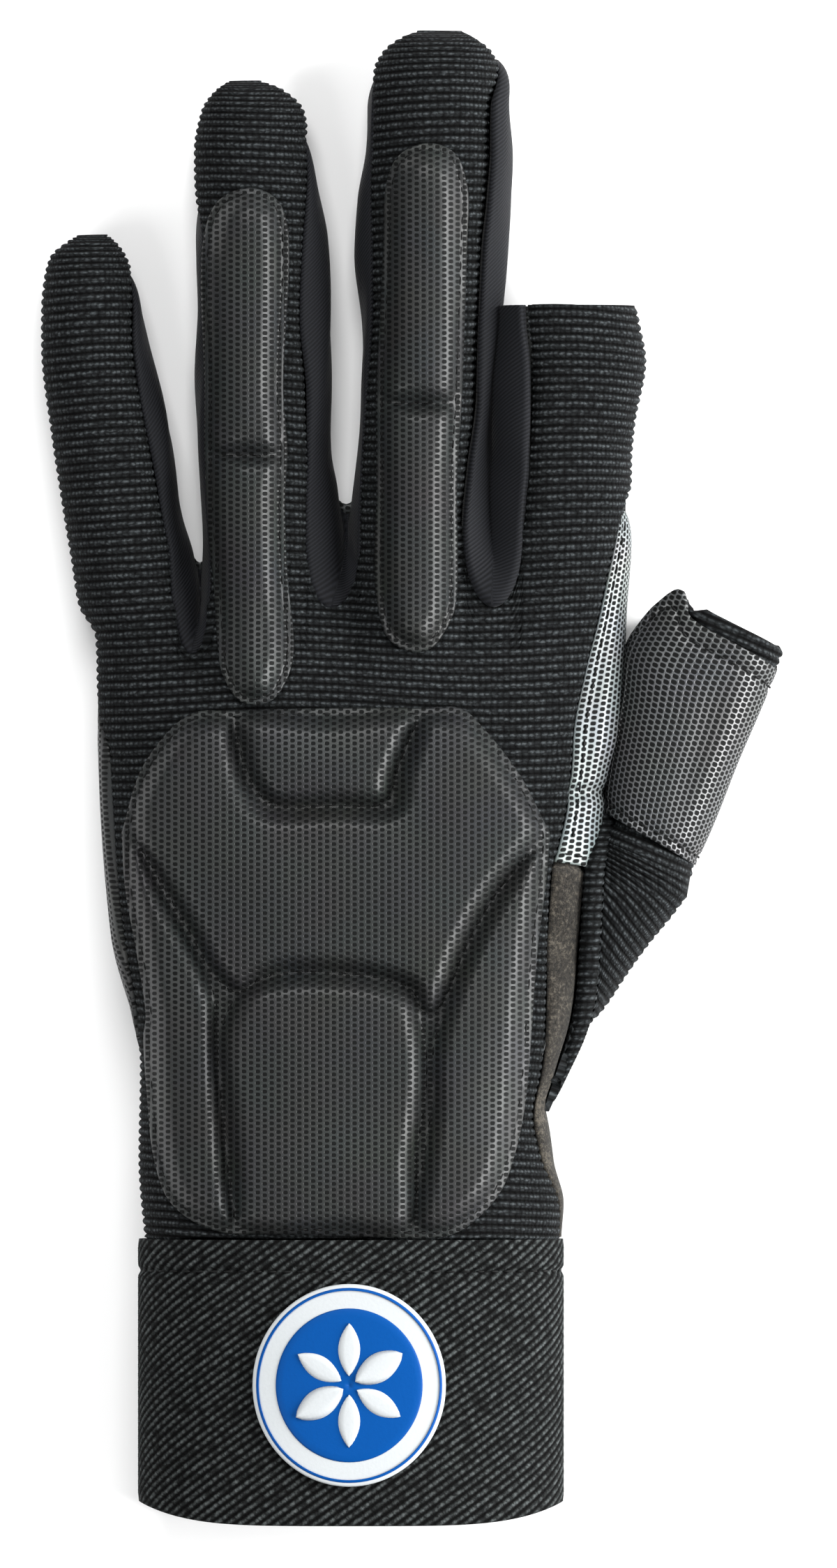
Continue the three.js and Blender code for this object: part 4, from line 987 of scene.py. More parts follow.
def petal(bm, turn, inner, outer, width, low, high):
    """One raised petal of the rosette, pointed at both ends."""
    made = bmesh.ops.create_grid(bm, x_segments=14, y_segments=6, size=0.5)["verts"]
    for vert in made:
        share, side = vert.co.x + 0.5, vert.co.y * 2
        r = lerp(inner, outer, share)
        wide = width * math.sin(math.pi * share) ** 0.8
        x, y = r, side * wide / 2
        z = high - (high - low) * (abs(side) ** 6)
        vert.co = Vector((
            (x * math.cos(turn) - y * math.sin(turn)) * MM,
            (x * math.sin(turn) + y * math.cos(turn)) * MM,
            z * MM,
        ))


# Materials


def plug(tree, node, inputs):
    """Sets the sockets of a node, by name or by number, to values, or links them to other nodes."""
    for socket, source in inputs.items() if isinstance(inputs, dict) else enumerate(inputs):
        if isinstance(source, bpy.types.Node):
            source = source.outputs[0]
        if isinstance(source, bpy.types.NodeSocket):
            tree.links.new(source, node.inputs[socket])
        else:
            node.inputs[socket].default_value = source


def add_node(tree, kind, inputs=(), stops=(), **settings):
    """Adds a shader node with its fields, its inputs and the stops of its colour ramp."""
    node = tree.nodes.new("ShaderNode" + kind)
    for name, value in settings.items():
        setattr(node, name, value)
    for number, (position, rgba) in enumerate(stops):
        elements = node.color_ramp.elements
        stop = elements[number] if number < 2 else elements.new(position)
        stop.position, stop.color = position, rgba
    plug(tree, node, inputs)
    return node


def new_material(name):
    material = bpy.data.materials.new(name)
    material.use_nodes = True
    tree = material.node_tree
    tree.nodes.clear()
    shader = add_node(tree, "BsdfPrincipled")
    add_node(tree, "OutputMaterial", [shader])
    return material, tree, shader


def shade(rgb, factor):
    return tuple(min(1.0, c * factor) for c in rgb) + (1.0,)


def knotted_yarn(name, rgb, cell, rows, uneven, grain, depth, flecks, stops):
    """Ribs of spun yarn: rows of small matt knots flecked with grey, with painted shade in the grooves and
    between the knots and a painted highlight on the tops of the ribs and knots.

    A cell is one knot in metres, and rows is how many rows of knots make one rib. The stops
    are places on the ramp with the painted brightness there, from painted shade to painted highlight.
    """
    material, tree, shader = new_material(name)
    cloth = add_node(tree, "Attribute", attribute_name="cloth").outputs["Vector"]
    per_metre = (1 / cell[0], 1 / cell[1], 0)
    plan = add_node(tree, "VectorMath", [cloth, per_metre], operation="MULTIPLY")
    knots = add_node(tree, "TexVoronoi", {"Vector": plan, "Scale": 1.0, "Randomness": uneven})
    yarn = add_node(tree, "TexNoise", {"Vector": plan, "Scale": grain, "Detail": 4.0, "Roughness": 0.75})
    split = add_node(tree, "SeparateXYZ", [plan])
    turn = add_node(tree, "Math", [split.outputs["Y"], math.pi / rows], operation="MULTIPLY")
    wave = add_node(tree, "Math", [turn], operation="SINE")
    ridge = add_node(tree, "Math", [wave], operation="ABSOLUTE")
    knot = add_node(tree, "Math", [knots, -depth, 1.0], operation="MULTIPLY_ADD")
    painted_rib_light = add_node(tree, "Math", [ridge, knot], operation="MULTIPLY")
    fleck = add_node(tree, "Math", [yarn, *flecks], operation="MULTIPLY_ADD")
    # painted light: bright on the tops of the ribs and knots, near black in the grooves and between the
    # knots; the grey flecks are the yarn's own
    lit = add_node(tree, "Math", [painted_rib_light, fleck], operation="MULTIPLY")
    ramp = add_node(tree, "ValToRGB", [lit], stops=[(at, shade(rgb, tone)) for at, tone in stops])
    height = add_node(tree, "Math", [yarn, 0.8, knot], operation="MULTIPLY_ADD")
    bump = add_node(tree, "Bump", {"Height": height, "Strength": 1.0, "Distance": 0.0004})
    plug(tree, shader, {"Base Color": ramp, "Normal": bump, "Roughness": 0.85, "Specular IOR Level": 0.1})
    return material


def ribbed_knit(name, colours, sizes):
    """Textured polyester yarn, knitted in ribs of two rows of knots."""
    cell = (KNOT_PITCH * MM, sizes.rib_pitch / 2)
    # painted shade in the grooves at 0.06 of the yarn colour, painted highlight on the tops of the ribs at
    # 8.5 times it
    stops = ((0.1, 0.06), (0.8, 8.5), (0.38, 1.3))
    return knotted_yarn(name, colours.knit, cell, rows=2, uneven=0.45, grain=2.6, depth=1.0,
                        flecks=(1.6, 0.0), stops=stops)


def woven_elastic(name, colours, sizes):
    """Woven rubber and polyester webbing: slanting ribs made of short twisted floats."""
    cell = (FLOAT_PITCH * MM, sizes.elastic_pitch)
    # painted shade between the ribs at 0.05 of the elastic colour, painted highlight on the floats at nine
    # times it
    stops = ((0.25, 0.05), (0.95, 9.0), (0.5, 1.2))
    return knotted_yarn(name, colours.elastic, cell, rows=1, uneven=0.85, grain=2.8, depth=0.6,
                        flecks=(1.3, 0.25), stops=stops)


def dented_leather(name, colours, sizes, net_colour, widen, gloss):
    """Coated synthetic leather, embossed with rows of small dents that leave a shiny net."""
    material, tree, shader = new_material(name)
    cloth = add_node(tree, "Attribute", attribute_name="cloth").outputs["Vector"]
    per_metre = (1 / sizes.dent_across, 1 / sizes.dent_along, 0)
    plan = add_node(tree, "VectorMath", [cloth, per_metre], operation="MULTIPLY")
    split = add_node(tree, "SeparateXYZ", [plan])
    # every other column is moved by half a pitch
    column = add_node(tree, "Math", [split.outputs["X"]], operation="FLOOR")
    odd = add_node(tree, "Math", [column, 1.0], operation="PINGPONG")
    along = add_node(tree, "Math", [odd, 0.5, split.outputs["Y"]], operation="MULTIPLY_ADD")
    # distance from the middle of a dent, as shares of the pitches; the third power squares the dents off
    away = []
    for place, size in ((split.outputs["X"], 0.345 * widen), (along, 0.32 * widen)):
        share = add_node(tree, "Math", [place], operation="FRACT")
        off = add_node(tree, "Math", [share, 0.5], operation="SUBTRACT")
        off = add_node(tree, "Math", [off], operation="ABSOLUTE")
        off = add_node(tree, "Math", [off, size], operation="DIVIDE")
        away.append(add_node(tree, "Math", [off, 3.0], operation="POWER"))
    far = add_node(tree, "Math", away, operation="ADD")
    net = add_node(tree, "MapRange", {"Value": far, "From Min": 0.45, "From Max": 1.4},
                   interpolation_type="SMOOTHSTEP")
    place = add_node(tree, "TexCoord").outputs["Object"]
    cloud = add_node(tree, "TexNoise", {"Vector": place, "Scale": 90.0, "Detail": 3.0})
    grain = add_node(tree, "TexNoise", {"Vector": place, "Scale": 2600.0, "Detail": 2.0})
    # painted shade: the bottoms of the dents are near black, while the raised net keeps the leather's colour
    tones = ((0.0, shade(colours.dent, 1.0)), (1.0, shade(net_colour, 1.0)))
    ramp = add_node(tree, "ValToRGB", [net], stops=tones)
    tone = add_node(tree, "Mix", {0: 0.3, 6: ramp, 7: cloud.outputs["Color"]}, data_type="RGBA",
                    blend_type="MULTIPLY")
    height = add_node(tree, "Math", [grain, 0.12, net], operation="MULTIPLY_ADD")
    bump = add_node(tree, "Bump", {"Height": height, "Strength": 0.6, "Distance": 0.0002})
    rough = add_node(tree, "MapRange", {"Value": net, "To Min": 0.75, "To Max": 0.42})
    shine = add_node(tree, "MapRange", {"Value": net, "To Min": 0.16, "To Max": gloss})
    plug(tree, shader, {"Base Color": tone.outputs[2], "Normal": bump, "Roughness": rough,
                        "Specular IOR Level": shine})
    return material


def stretch_twill(name, colours, sizes):
    """Tightly woven polyamide twill: fine slanting ridges with a painted highlight on each, painted shade
    between them and a soft sheen.
    """
    material, tree, shader = new_material(name)
    cloth = add_node(tree, "Attribute", attribute_name="cloth").outputs["Vector"]
    ridges = 2 * math.pi / (TWILL_PITCH * MM)
    per_metre = (0.8 * ridges, ridges, 0)
    turn = add_node(tree, "VectorMath", [cloth, per_metre], operation="DOT_PRODUCT").outputs["Value"]
    wave = add_node(tree, "Math", [turn], operation="SINE")
    ridge = add_node(tree, "Math", [wave, 0.5, 0.5], operation="MULTIPLY_ADD")
    place = add_node(tree, "TexCoord").outputs["Object"]
    fuzz = add_node(tree, "TexNoise", {"Vector": place, "Scale": 1500.0, "Detail": 3.0})
    # painted light: the ramp lightens the tops of the ridges and darkens the hollows between them
    ramp = add_node(tree, "ValToRGB", [ridge],
                    stops=((0.0, shade(colours.twill, 0.6)), (1.0, shade(colours.twill, 1.6))))
    height = add_node(tree, "Math", [fuzz, 0.8, wave], operation="MULTIPLY_ADD")
    bump = add_node(tree, "Bump", {"Height": height, "Strength": 0.5, "Distance": 0.0001})
    plug(tree, shader, {"Base Color": ramp, "Normal": bump, "Roughness": 0.7, "Specular IOR Level": 0.12,
                        "Sheen Weight": 0.04, "Sheen Roughness": 0.35})
    return material


def brushed_suede(name, colours, sizes):
    """Split leather with a short brushed nap: mottled grey-brown, matt, with fine light hairs."""
    material, tree, shader = new_material(name)
    place = add_node(tree, "TexCoord").outputs["Object"]
    nap = add_node(tree, "TexNoise", {"Vector": place, "Scale": 1500.0, "Detail": 5.0, "Roughness": 0.8})
    cloud = add_node(tree, "TexNoise", {"Vector": place, "Scale": 170.0, "Detail": 3.0})
    part = add_node(tree, "Math", [nap, 0.8], operation="MULTIPLY")
    mix = add_node(tree, "Math", [cloud, 0.3, part], operation="MULTIPLY_ADD")
    tones = ((0.43, shade(colours.suede, 0.25)), (0.66, shade(colours.suede, 4.0)),
             (0.55, shade(colours.suede, 1.0)))
    ramp = add_node(tree, "ValToRGB", [mix], stops=tones)
    bump = add_node(tree, "Bump", {"Height": nap, "Strength": 1.0, "Distance": 0.0006})
    plug(tree, shader, {"Base Color": ramp, "Normal": bump, "Roughness": 0.95, "Specular IOR Level": 0.15,
                        "Sheen Weight": 0.08, "Sheen Roughness": 0.5})
    return material


def grained(name, rgb, scale, tones, look, strength=0.0, distance=0.0):
    """A material of one colour with a fine grain, and a bump from it where a strength is given."""
    material, tree, shader = new_material(name)
    place = add_node(tree, "TexCoord").outputs["Object"]
    grain = add_node(tree, "TexNoise", {"Vector": place, "Scale": scale, "Detail": 2.0})
    stops = [(at, shade(rgb, tone)) for at, tone in tones]
    plug(tree, shader, {"Base Color": add_node(tree, "ValToRGB", [grain], stops=stops), **look})
    if strength:
        bump = add_node(tree, "Bump", {"Height": grain, "Strength": strength, "Distance": distance})
        plug(tree, shader, {"Normal": bump})
    return material


def moulded_rubber(name, colours, sizes, rgb):
    """Soft moulded rubber with a fine satin skin."""
    look = {"Roughness": 0.5, "Specular IOR Level": 0.08}
    tones = ((0.0, 0.93), (1.0, 1.0))
    return grained(name, rgb, 1800.0, tones, look, strength=0.25, distance=0.0001)


def sewing_thread(name, colours, sizes):
    """Twisted polyester thread, dark and dull."""
    look = {"Roughness": 0.7, "Specular IOR Level": 0.2}
    return grained(name, colours.thread, 2200.0, ((0.4, 0.6), (0.8, 1.6)), look)


def plain_paper(name, colours, sizes):
    """Matt white studio paper."""
    material, tree, shader = new_material(name)
    plug(tree, shader, {"Base Color": shade(colours.floor, 1.0), "Roughness": 0.9,
                        "Specular IOR Level": 0.1})
    return material


# What each material is made with, and the fields of the function beside it.
MATERIALS = {
    KNIT: (ribbed_knit, {}),
    PLAIN_LEATHER: (dented_leather, {"net_colour": "leather", "widen": 1.0, "gloss": 0.3}),
    # the lighter net colours of the patch and the sleeve are a painted highlight on the pads' leather; their
    # wider dents are real
    "dented leather of the patch": (dented_leather, {"net_colour": "patch", "widen": 1.1, "gloss": 0.8}),
    "dented leather of the sleeve": (dented_leather, {"net_colour": "sleeve", "widen": 1.22, "gloss": 1.0}),
    "stretch twill": (stretch_twill, {}),
    "brushed suede": (brushed_suede, {}),
    "woven elastic webbing": (woven_elastic, {}),
    "white moulded rubber": (moulded_rubber, {"rgb": "badge_white"}),
    "blue moulded rubber": (moulded_rubber, {"rgb": "badge_blue"}),
    THREAD: (sewing_thread, {}),
    "matt studio paper": (plain_paper, {}),
}


def material_of(name):
    """A material by its name, made once."""
    scene = bpy.context.scene
    make, fields = MATERIALS[name]
    given = {k: getattr(scene.glove_colours, v) if isinstance(v, str) else v for k, v in fields.items()}
    return bpy.data.materials.get(name) or make(name, scene.glove_colours, scene.glove_sizes, **given)


# Operators


class GLOVE_OT_knit_back(bpy.types.Operator):
    """The ribbed knit of the back of the hand and of the finger stalls"""

    bl_idname = "glove.knit_back"
    bl_label = "Knit back"

    def execute(self, context):
        sizes = context.scene.glove_sizes
        pitch, height = sizes.rib_pitch / MM, sizes.rib_height / MM

        def relief(at, across, name):
            out = rib(rib_line(at, name), pitch, height) - 0.3
            out += soft_folds(at[:, 0], at[:, 1], "knit")
            if not name:
                return -out
            if name == "index":
                out *= limit((FINGER_ROWS[name][0][0] - at[:, 1]) / 1.5)
            # a stall is sewn to its neighbours above the crotch, and to the palm all the way down
            number = list(FINGERS).index(name)
            sewn = [web["back"] for web in WEBS]
            left = sewn[number - 1] if number else WRIST - 9
            right = sewn[number] if number < len(sewn) else WRIST - 9
            start = np.where(across < 0.5, left, right)
            return edge_dip(across, width=26, deep=0.6) * limit((at[:, 1] - start) / 2) - out

        gap = sizes.seam_gap / MM
        bm = hand_wall("back", relief, gap, columns=12, web_columns=7, row_step=pitch / 5)
        finish_piece(
            bm, "knit_back", KNIT, ("back_knit", *(name + "_knit" for name in FINGERS)),
            sizes.knit_wall, (-10, 20, 4),
        )
        return {"FINISHED"}


class GLOVE_OT_palm(bpy.types.Operator):
    """The thin leather of the palm and of the underside of the stalls"""

    bl_idname = "glove.palm"
    bl_label = "Palm leather"

    def execute(self, context):
        sizes = context.scene.glove_sizes

        def relief(at, across, name):
            low = limit((at[:, 2] - 1.5) / 3)
            return -low * soft_folds(at[:, 0], at[:, 1], "palm")

        gap = sizes.seam_gap / MM
        bm = hand_wall("palm", relief, gap, columns=12, web_columns=8, row_step=1.2)
        finish_piece(
            bm, "palm_leather", PLAIN_LEATHER, ("palm_panel",),
            sizes.leather_wall, (-10, 20, 12),
        )
        return {"FINISHED"}


class GLOVE_OT_twill(bpy.types.Operator):
    """The stretch twill strips between the fingers"""

    bl_idname = "glove.twill"
    bl_label = "Twill between the fingers"

    def execute(self, context):
        sizes = context.scene.glove_sizes
        for web, tops, name in zip(WEBS, TWILL_TOPS, TWILL_NAMES):
            bm = twill_sheet(web, tops, sizes.seam_gap / MM, side_rows=110, web_rows=40, columns=16)
            first, second = (FINGERS[stall] for stall in web["pair"])
            gap_middle = float(first.at("right", 70) + second.at("left", 70)) / 2
            # seen from the middle of the gap between two fingers, the strip faces the viewer
            eye = Vector((gap_middle, 70, 8)) * MM
            turn_over(bm, lambda f: (eye - f.calc_center_median()).dot(f.normal))
            finish_piece(bm, name + "_cloth", "stretch twill", (name,), sizes.knit_wall)
        return {"FINISHED"}


class GLOVE_OT_side_patch(bpy.types.Operator):
    """The dented leather patch beside the index finger"""

    bl_idname = "glove.side_patch"
    bl_label = "Index side patch"

    def execute(self, context):
        sizes = context.scene.glove_sizes
        gap = sizes.seam_gap / MM

        def patch_angle(across, y):
            turn = gap_turn("index", y, gap)
            top = FINGERS["index"].at("seam_right", y) - turn
            return lerp(top, PALM_SEAM.at("angle", y) + turn, across)

        def level(across, along):
            hem = SIDE_BOTTOM + np.where(across > 0.3, (across - 0.3) * 6, (0.3 - across) * 3)
            return lerp(SIDE_TOP, hem, along)

        def place(across, along):
            y = level(across, along)
            bulge = 0.55 * limit((across - 0.14) / 0.12) * limit((1 - across) / 0.2)
            fold = 0.7 * ridge_at(y + 2.5, 1.4)
            end = np.exp(-(SIDE_TOP - y) / 2.5)
            bulge *= 1 - end
            depth = fold + edge_dip(across, width=18, deep=0.3) + 0.9 * end - bulge
            return skin("index", patch_angle(across, y), y, depth)

        even = np.linspace(0, 1, 121)
        middle_y = 15.0
        run = arc_length(skin("index", patch_angle(even, middle_y), middle_y))
        bm = lay_grid(
            None, 36, 130, place, lambda a, b, at: points(np.interp(a, even, run), at[:, 1], 0)
        )
        finish_piece(
            bm, "index_side_leather", "dented leather of the patch",
            ("index_side_patch",), sizes.leather_wall, (5, 15, 10),
        )
        down = lerp(SIDE_TOP, SIDE_BOTTOM, np.linspace(0.03, 0.93, 120))
        across = np.linspace(0.03, 0.8, 60)
        y = level(across, np.full_like(across, 0.975))
        stitch("index_side_stitches", (
            skin("index", patch_angle(0.10, down), down, -0.1),
            skin("index", patch_angle(across, y), y, -0.45),
        ))
        return {"FINISHED"}


class GLOVE_OT_suede(bpy.types.Operator):
    """The brushed gusset between the knit and the thumb"""

    bl_idname = "glove.suede"
    bl_label = "Suede gusset"

    def execute(self, context):
        sizes = context.scene.glove_sizes
        gap = sizes.seam_gap / MM

        def place(across, along):
            y = lerp(SUEDE_TOP, WRIST, along)
            tuck = 1.2 * limit((y - SUEDE_TOP + 2.2) / 1.4)  # the end goes under the patch
            turn = gap_turn("index", y, gap)
            top = FINGERS["index"].at("seam_right", y) - turn
            edge = np.minimum(THUMB_SEAM.at("angle", y) + turn, top - 2)
            folds = soft_folds(y, across * 9, "suede") * np.sin(np.pi * across) ** 0.5
            depth = edge_dip(across, width=10, deep=0.4) + tuck - folds
            return skin("index", lerp(top, edge, across), y, depth)

        bm = lay_grid(None, 20, 130, place, lambda a, b, at: at)
        finish_piece(
            bm, "suede_gusset", "brushed suede", ("suede_patch",), sizes.knit_wall, (0, -45, 10)
        )
        return {"FINISHED"}


class GLOVE_OT_thumb(bpy.types.Operator):
    """The thumb: a knit liner with its ribbed base, and the leather sleeve over it"""

    bl_idname = "glove.thumb"
    bl_label = "Thumb"

    def execute(self, context):
        sizes = context.scene.glove_sizes
        pitch, height = sizes.rib_pitch / MM, sizes.rib_height / MM
        gap = sizes.seam_gap / MM
        liner = sizes.leather_wall / MM + LINER_PLAY

        def sleeve_point(across, along):
            degrees = THUMB_START - 360 * across
            rim = RIM.at("v", np.mod(degrees, 360))
            low = hem_of(degrees)
            v = lerp(rim, low, along)
            folds = soft_folds(degrees / 14, v, "sleeve")
            folds -= 0.8 * ridge_at(degrees - 72, 16)  # the empty tube sags on top
            hem = 0.35 * (ridge_at(rim - v - RIM_STITCH, 0.7) + ridge_at(v - low - HEM_STITCH, 0.6))
            return thumb_skin(degrees, v, hem - folds * np.sin(np.pi * limit(along)))

        even = np.linspace(0, 1, 361)
        run = arc_length(thumb_skin(THUMB_START - 360 * even, 15.0, 0))
        bm = lay_grid(
            None, 120, 90, sleeve_point,
            lambda a, b, at: points(np.interp(a, even, run), thumb_along(at), 0),
        )
        finish_piece(
            bm, "thumb_leather", "dented leather of the sleeve", ("thumb_sleeve",),
            sizes.leather_wall, from_thumb(1.5, 18, 9),
        )

        def liner_point(across, along):
            degrees = THUMB_START - 360 * across
            rim = RIM.at("v", np.mod(degrees, 360))
            # on the upper side the knit shows as a band beyond the leather
            band = ([0, 100, 120, 290, 340, 360], [3.7, 2.9, -1, -1, 3, 3.7])
            upper = rim + np.interp(np.mod(degrees, 360), *band)
            v = lerp(upper, -4.2, along)
            inset = np.interp(-v, [-40, 0.9, 2.2, 4.2], [liner, liner, liner - 0.9, 0.2])
            inset = lerp(inset, 0.7, limit((v - rim + 0.6) / 1.2))
            across_ribs = np.where(v > 20, upper - v, v)
            return thumb_skin(degrees, v, inset - rib(across_ribs, pitch, height) * (inset < liner - 0.1))

        bm = lay_grid(
            None, 100, 120, liner_point, lambda a, b, at: points(a * 70, thumb_along(at), 0)
        )

        def base_point(across, along):
            lift = np.radians(90 - 180 * across)
            out, up = power(np.cos(lift), 0.9), power(np.sin(lift), 0.9)
            y = lerp(BASE_TOP, BASE_BOTTOM, along)
            turn = gap_turn("index", y, gap)
            start = skin("index", THUMB_SEAM.at("angle", y) - turn, y)
            end = skin("index", PALM_SEAM.at("angle", y) + turn, y)
            near = np.where((lift >= 0)[:, None], start, end)
            x = lerp(near[:, 0], BASE.at("out_x", y), out)
            level = lerp(near[:, 1], BASE.at("out_y", y), out)
            top = lerp(BASE.at("top", y), start[:, 2], np.abs(up) ** 8)
            low = lerp(0, end[:, 2], np.abs(up) ** 8)
            z = np.where(lift >= 0, lerp(THUMB_MIDDLE, top, up), lerp(THUMB_MIDDLE, low, -up))
            # at its lower end the knit goes in under its neighbours
            at = points(x - END_TUCK * limit((-57 - y) / 2), level, z)
            ridge = rib(base_ribs(at), pitch, height) + soft_folds(at[:, 0], at[:, 1], "thumb")
            middle_line = points(lerp(start[:, 0], BASE.at("out_x", y), 0.3), level, THUMB_MIDDLE)
            away = at - middle_line
            away /= np.maximum(np.linalg.norm(away, axis=1), 1e-6)[:, None]
            fade = from_edges(across, 0.04) * limit((1 - along) / 0.2)
            moved = at + away * (ridge * fade)[:, None]
            moved[:, 2] = np.maximum(moved[:, 2], 0.0)
            return moved

        def on_base(across, along, at):
            return points(across * 60, base_ribs(at), 0)

        lay_grid(bm, 130, 110, base_point, on_base)

        def collar_point(across, along):
            """Between the last ring of the liner and the first row of the base."""
            ring = liner_point(across * THUMB_OPEN / 360, np.ones_like(across))
            first = base_point(across, np.zeros_like(across))
            at = lerp(ring, first, along[:, None])
            swell = np.sin(np.pi * along) * rib(base_ribs(at), pitch, height)
            at[:, 2] += swell * np.sign(at[:, 2] - THUMB_MIDDLE) * (at[:, 2] > 1)
            return at

        lay_grid(bm, 130, 44, collar_point, on_base)
        finish_piece(
            bm, "thumb_knit_cloth", KNIT, ("thumb_knit",), sizes.knit_wall, from_thumb(0, -10, 8)
        )

        roll_y = np.linspace(ROLL_ROWS[0][0], ROLL_ROWS[-1][0], 200)
        spine = points(ROLL.at("x", roll_y), roll_y, ROLL.at("z", roll_y))
        spine_run = arc_length(spine)

        def roll_point(across, along):
            where = along * spine_run[-1]
            middle_at = np.stack([np.interp(where, spine_run, spine[:, k]) for k in range(3)], axis=-1)
            turn = 2 * np.pi * across
            twist = rib(where + 1.5 * pitch * across, pitch, 0.45)
            swell = np.clip(np.minimum(along, 1 - along) / 0.06, 0.02, 1) ** 0.5
            swell *= 1 - 0.6 * limit((along - 0.68) / 0.3)
            radius = (1.45 + twist) * swell
            return middle_at + points(radius * np.cos(turn), 0 * turn, radius * np.sin(turn))

        bm = lay_grid(
            None, 24, 200, roll_point, lambda a, b, at: points(a * 9, b * spine_run[-1], 0)
        )
        finish_piece(bm, "thumb_knit_roll", KNIT)

        turns = np.linspace(THUMB_START, THUMB_START - 180, 90)
        seam_rows = (RIM.at("v", np.mod(turns, 360)) - RIM_STITCH, hem_of(turns) + HEM_STITCH)
        stitch("thumb_stitches", [thumb_skin(turns, v, 0.05) for v in seam_rows])
        return {"FINISHED"}


class GLOVE_OT_pads(bpy.types.Operator):
    """The padded leather cushions of the hand, the ring finger and the middle finger"""

    bl_idname = "glove.pads"
    bl_label = "Pads"

    def execute(self, context):
        sizes = context.scene.glove_sizes
        for name, stall, corners, cushions, cell, round_width in (
            ("hand_pad", None, HAND_PAD, HAND_CUSHIONS, 0.6, None),
            ("ring_pad", "ring", RING_PAD, RING_CUSHIONS, 0.45, 7.4),
            ("middle_pad", "middle", MIDDLE_PAD, MIDDLE_CUSHIONS, 0.45, 7.8),
        ):
            bm, lines, height_at = pad_sheet(stall, corners, cushions, cell, round_width, sizes)
            piece = finish_piece(bm, name + "_leather", PLAIN_LEATHER, (name,))
            stitch(name + "_stitches", lines, lambda p: height_at(p) + 0.1)
        return {"FINISHED"}


class GLOVE_OT_cuff(bpy.types.Operator):
    """The elastic round the wrist"""

    bl_idname = "glove.cuff"
    bl_label = "Wrist elastic"

    def execute(self, context):
        sizes = context.scene.glove_sizes
        pitch, height = sizes.elastic_pitch / MM, sizes.elastic_rib / MM

        def cuff_point(across, along, depth):
            sides = (CUFF[key] for key in ("left", "right", "height", "middle"))
            x, z = tube_section(*sides, -360 * across, depth)
            bottom = CUFF["bottom"] + CUFF["rise"] * np.cos(2 * np.pi * across) ** 4
            return points(x, lerp(CUFF["top"], bottom, along), np.maximum(z, np.maximum(depth, 0)))

        even = np.linspace(0, 1, 721)
        run = arc_length(cuff_point(even, np.full_like(even, 0.5), 0.0))

        def place(across, along):
            share = np.interp(across * run[-1], run, even)
            y = cuff_point(share, along, 0.0)[:, 1]
            ridge = 2 * rib(slanted(across * run[-1], y)[1], pitch, height) - height
            seam = 0.45 * ridge_at(y - CUFF_STITCH_ROW, 0.6)
            fade = from_edges(share, 0.01) * from_edges(along, 0.03)
            return cuff_point(share, along, seam - ridge * fade)

        bm = lay_grid(
            None, 320, 148, place, lambda a, b, at: points(*slanted(a * run[-1], at[:, 1]), 0)
        )
        finish_piece(
            bm, "wrist_elastic", "woven elastic webbing", ("wrist_cuff",),
            sizes.elastic_wall, (-10, -105, 15),
        )
        share = np.linspace(0.98, 0.52, 160)
        row = cuff_point(share, np.full_like(share, 0.11), 0.05)
        row[:, 1] = CUFF_STITCH_ROW
        stitch("wrist_stitches", [row])
        return {"FINISHED"}


class GLOVE_OT_badge(bpy.types.Operator):
    """The round moulded badge on the wrist, with a plain rosette"""

    bl_idname = "glove.badge"
    bl_label = "Badge"

    def execute(self, context):
        white, blue = "white moulded rubber", "blue moulded rubber"
        rim = BADGE_RADIUS - 0.6
        for name, material, disc, replaces in (
            ("badge_disc", white, disc_layer(BADGE_RADIUS, 0.35, 1.55, rings=16), ("round_badge",)),
            ("badge_rim", blue, disc_layer(rim, 1.3, 1.75, inner=rim - 0.55, rings=2), ()),
            ("badge_field", blue, disc_layer(13.4, 1.3, 1.8, rings=12), ()),
        ):
            bend_over_cuff(disc)
            finish_piece(disc, name, material, replaces)
        flower = bmesh.new()
        for k in range(PETALS):
            turn = math.tau * (k + 0.5) / PETALS
            petal(flower, turn, inner=1.6, outer=10.8, width=4.6, low=1.6, high=2.15)
        bmesh.ops.recalc_face_normals(flower, faces=flower.faces)
        bend_over_cuff(flower)
        turn_over(flower, lambda f: f.normal.z)
        finish_piece(flower, "badge_rosette", white, wall=0.4 * MM)
        return {"FINISHED"}


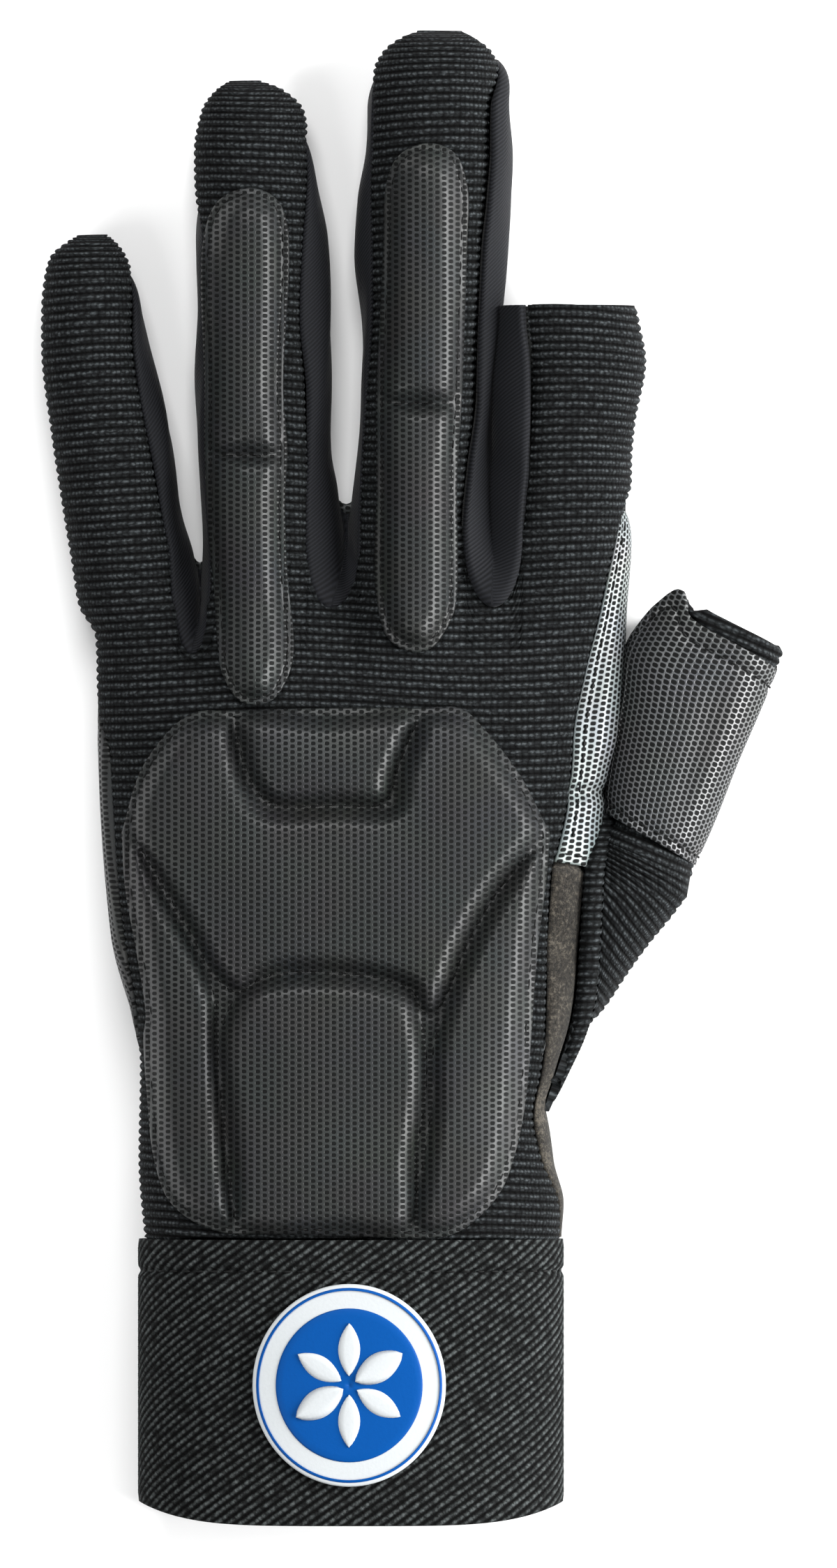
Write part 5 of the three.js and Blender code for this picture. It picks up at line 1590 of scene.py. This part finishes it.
class GLOVE_OT_stage(bpy.types.Operator):
    """The pale floor, the soft studio lights and the camera straight above"""

    bl_idname = "glove.stage"
    bl_label = "Stage"

    def execute(self, context):
        scene = context.scene
        bm = bmesh.new()
        bmesh.ops.create_grid(bm, x_segments=2, y_segments=2, size=3.0)
        add_mesh(bm, "floor", "matt studio paper")
        world = bpy.data.worlds.new("studio")
        world.use_nodes = True
        ground = world.node_tree.nodes["Background"]
        ground.inputs["Color"].default_value = (1, 1, 1, 1)
        ground.inputs["Strength"].default_value = WORLD_STRENGTH
        scene.world = world
        for name, place, aim, width, height, watts in LIGHTS:
            light = bpy.data.lights.new(name, "AREA")
            light.shape = "RECTANGLE"
            light.size, light.size_y = width, height
            light.energy = watts
            lamp = add_object(name, light)
            lamp.location = place
            lamp.rotation_euler = (Vector(aim) - Vector(place)).to_track_quat("-Z", "Y").to_euler()
        data = bpy.data.cameras.new("camera")
        camera = add_object("camera", data)
        data.sensor_fit = "VERTICAL"
        data.sensor_height = 36.0
        data.lens = data.sensor_height * (CAMERA_HEIGHT - OBJECT_MIDDLE) / (FIELD_HEIGHT * MM)
        data.clip_end = 20
        camera.location = (FIELD_CENTRE[0] * MM, FIELD_CENTRE[1] * MM, CAMERA_HEIGHT)
        scene.camera = camera
        scene.view_settings.view_transform = "Standard"
        return {"FINISHED"}


class GLOVE_PT_panel(bpy.types.Panel):
    """The glove's pieces, sizes and colours"""

    bl_label = "Shooting Glove"
    bl_idname = "GLOVE_PT_panel"
    bl_space_type = "VIEW_3D"
    bl_region_type = "UI"
    bl_category = "Glove"

    def draw(self, context):
        layout = self.layout
        for operator in OPERATORS:
            layout.operator(operator.bl_idname)
        for group in (context.scene.glove_sizes, context.scene.glove_colours):
            box = layout.box()
            for name in group.__annotations__:
                box.prop(group, name)


OPERATORS = (
    GLOVE_OT_knit_back, GLOVE_OT_palm, GLOVE_OT_twill, GLOVE_OT_side_patch, GLOVE_OT_suede,
    GLOVE_OT_thumb, GLOVE_OT_pads, GLOVE_OT_cuff, GLOVE_OT_badge, GLOVE_OT_stage,
)
CLASSES = (GloveSizes, GloveColours, *OPERATORS, GLOVE_PT_panel)


def register():
    for cls in CLASSES:
        bpy.utils.register_class(cls)
    bpy.types.Scene.glove_sizes = PointerProperty(type=GloveSizes)
    bpy.types.Scene.glove_colours = PointerProperty(type=GloveColours)


def unregister():
    del bpy.types.Scene.glove_colours
    del bpy.types.Scene.glove_sizes
    for cls in reversed(CLASSES):
        bpy.utils.unregister_class(cls)


def main():
    register()
    bpy.ops.glove.knit_back()
    bpy.ops.glove.palm()
    bpy.ops.glove.twill()
    bpy.ops.glove.side_patch()
    bpy.ops.glove.suede()
    bpy.ops.glove.thumb()
    bpy.ops.glove.pads()
    bpy.ops.glove.cuff()
    bpy.ops.glove.badge()
    bpy.ops.glove.stage()


if __name__ == "__main__":
    main()
